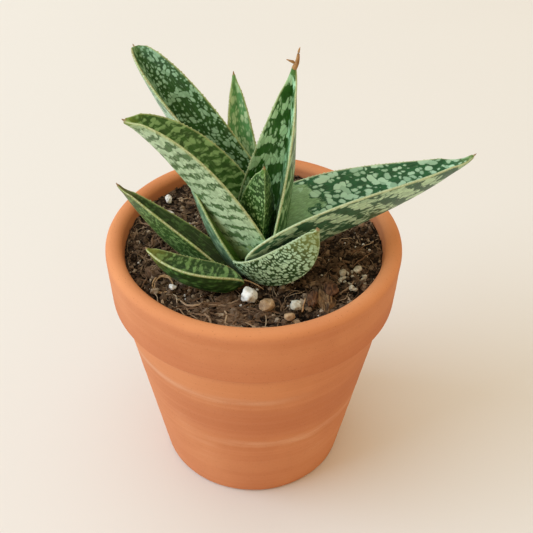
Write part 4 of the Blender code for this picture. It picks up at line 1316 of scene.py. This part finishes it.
def make_stem():
    """The short stem with the scars of old leaves, mostly hidden in the soil and by the leaves."""
    low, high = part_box("aloe_stem")
    x = ((low[0] + high[0]) / 2 - AXIS_X) / MM
    y = ((low[1] + high[1]) / 2 - AXIS_Y) / MM
    reach = (high[0] - low[0]) / 2 / MM - 0.3
    foot, top = low[2] / MM, high[2] / MM
    rows = []
    for i in range(STEM_ROWS + 1):
        share = i / STEM_ROWS
        swell = 0.35 + 0.62 * math.sin(math.pi / 2 * min(1.0, share * 1.15))
        wide = reach * swell * (0.9 if share > 0.97 else 1)
        scar = 0.25 * abs(math.sin(share * 26))
        height = foot + (top - foot) * share
        row = []
        for j in range(STEM_SIDES + 1):
            turn = 2 * math.pi * (j % STEM_SIDES) / STEM_SIDES
            bark = noise.noise(Vector((math.cos(turn) * 2, math.sin(turn) * 2, height))) * 0.25
            radius = wide + bark - scar
            row.append(from_axis(x + radius * math.cos(turn), y + radius * math.sin(turn), height))
        rows.append(row)
    rows.append([from_axis(x, y, top)] * (STEM_SIDES + 1))
    stem = roll_up("stem_stock", rows)
    bark = earth("stem_bark", (66, 48, 30), (118, 92, 60), (160, 132, 92), False)
    complete(stem, bark, "stem", "aloe_stem")


# Camera, floor and light

CAMERA_SPOT = (0.0, -299.53, 337.70)
CAMERA_RIGHT = (0.99991, -0.00624, 0.01185)
CAMERA_UP = (-0.00512, 0.63930, 0.76894)
CAMERA_FORWARD = (0.01237, 0.76893, -0.63921)
LENS = 69.31
SENSOR = 36.0
FLOOR_SIZE = 6.0
FLOOR_GAP = 0.0002
ROOM_COLOUR = (1.0, 0.78, 0.48, 1.0)
ROOM_STRENGTH = 0.75
LAMP_COLOUR = (0.57, 0.77, 1.0)
LAMP_AIM = (0, 0, 0.08)
# Name, place and size in metres, power in watts
LAMPS = [("window_light", (-2.8, -0.5, 1.45), 2.8, 95.0), ("top_light", (-0.4, 0.2, 2.4), 2.4, 21.0)]


def set_camera():
    """The camera, where the photograph's stood."""
    data = bpy.data.cameras.new("view_camera")
    data.lens = LENS
    data.sensor_width = SENSOR
    data.clip_start = 0.01
    data.clip_end = 20.0
    camera = bpy.data.objects.new("view_camera", data)
    bpy.context.collection.objects.link(camera)
    turn = Matrix((CAMERA_RIGHT, CAMERA_UP, [-c for c in CAMERA_FORWARD])).transposed()
    camera.matrix_world = Matrix.Translation(from_axis(*CAMERA_SPOT)) @ turn.to_4x4()
    bpy.context.scene.camera = camera


def floor_finish():
    """Plain pale studio floor."""
    f = Finish("pale_floor")
    soft = f.cloud(f.own(), 3.0, 2.0, 0.5)
    colour = f.blend(f.ramp(soft, 0.3, 0.7), paint(232, 229, 224), paint(234, 231, 226))
    return f.coat(colour, 0.9, None, Specular_IOR_Level=0.1)


def set_stage():
    """A wide floor, a warm room and two soft cool lamps."""
    bpy.context.scene.view_settings.view_transform = "Standard"
    let_go()
    bpy.ops.mesh.primitive_plane_add(size=FLOOR_SIZE, location=(0, 0, -FLOOR_GAP))
    floor = bpy.context.object
    floor.name = "studio_floor"
    floor.data.materials.append(floor_finish())
    world = bpy.data.worlds.new("soft_room")
    world.use_nodes = True
    bpy.context.scene.world = world
    back = world.node_tree.nodes["Background"]
    back.inputs["Color"].default_value = ROOM_COLOUR
    back.inputs["Strength"].default_value = ROOM_STRENGTH
    for name, spot, size, power in LAMPS:
        data = bpy.data.lights.new(name, "AREA")
        data.size = size
        data.energy = power
        data.color = LAMP_COLOUR
        lamp = bpy.data.objects.new(name, data)
        bpy.context.collection.objects.link(lamp)
        lamp.location = spot
        lamp.rotation_mode = "QUATERNION"
        lamp.rotation_quaternion = (Vector(LAMP_AIM) - Vector(spot)).to_track_quat("-Z", "Y")


# The whole

set_camera()
set_stage()
complete(throw_pot(), terracotta(), "terracotta", "terracotta_pot")
bed_tree = make_soil(tree_of(*make_leaves()))
make_loose_pieces()
make_roots(bed_tree)
make_dry_tip()
make_scales()
make_stem()
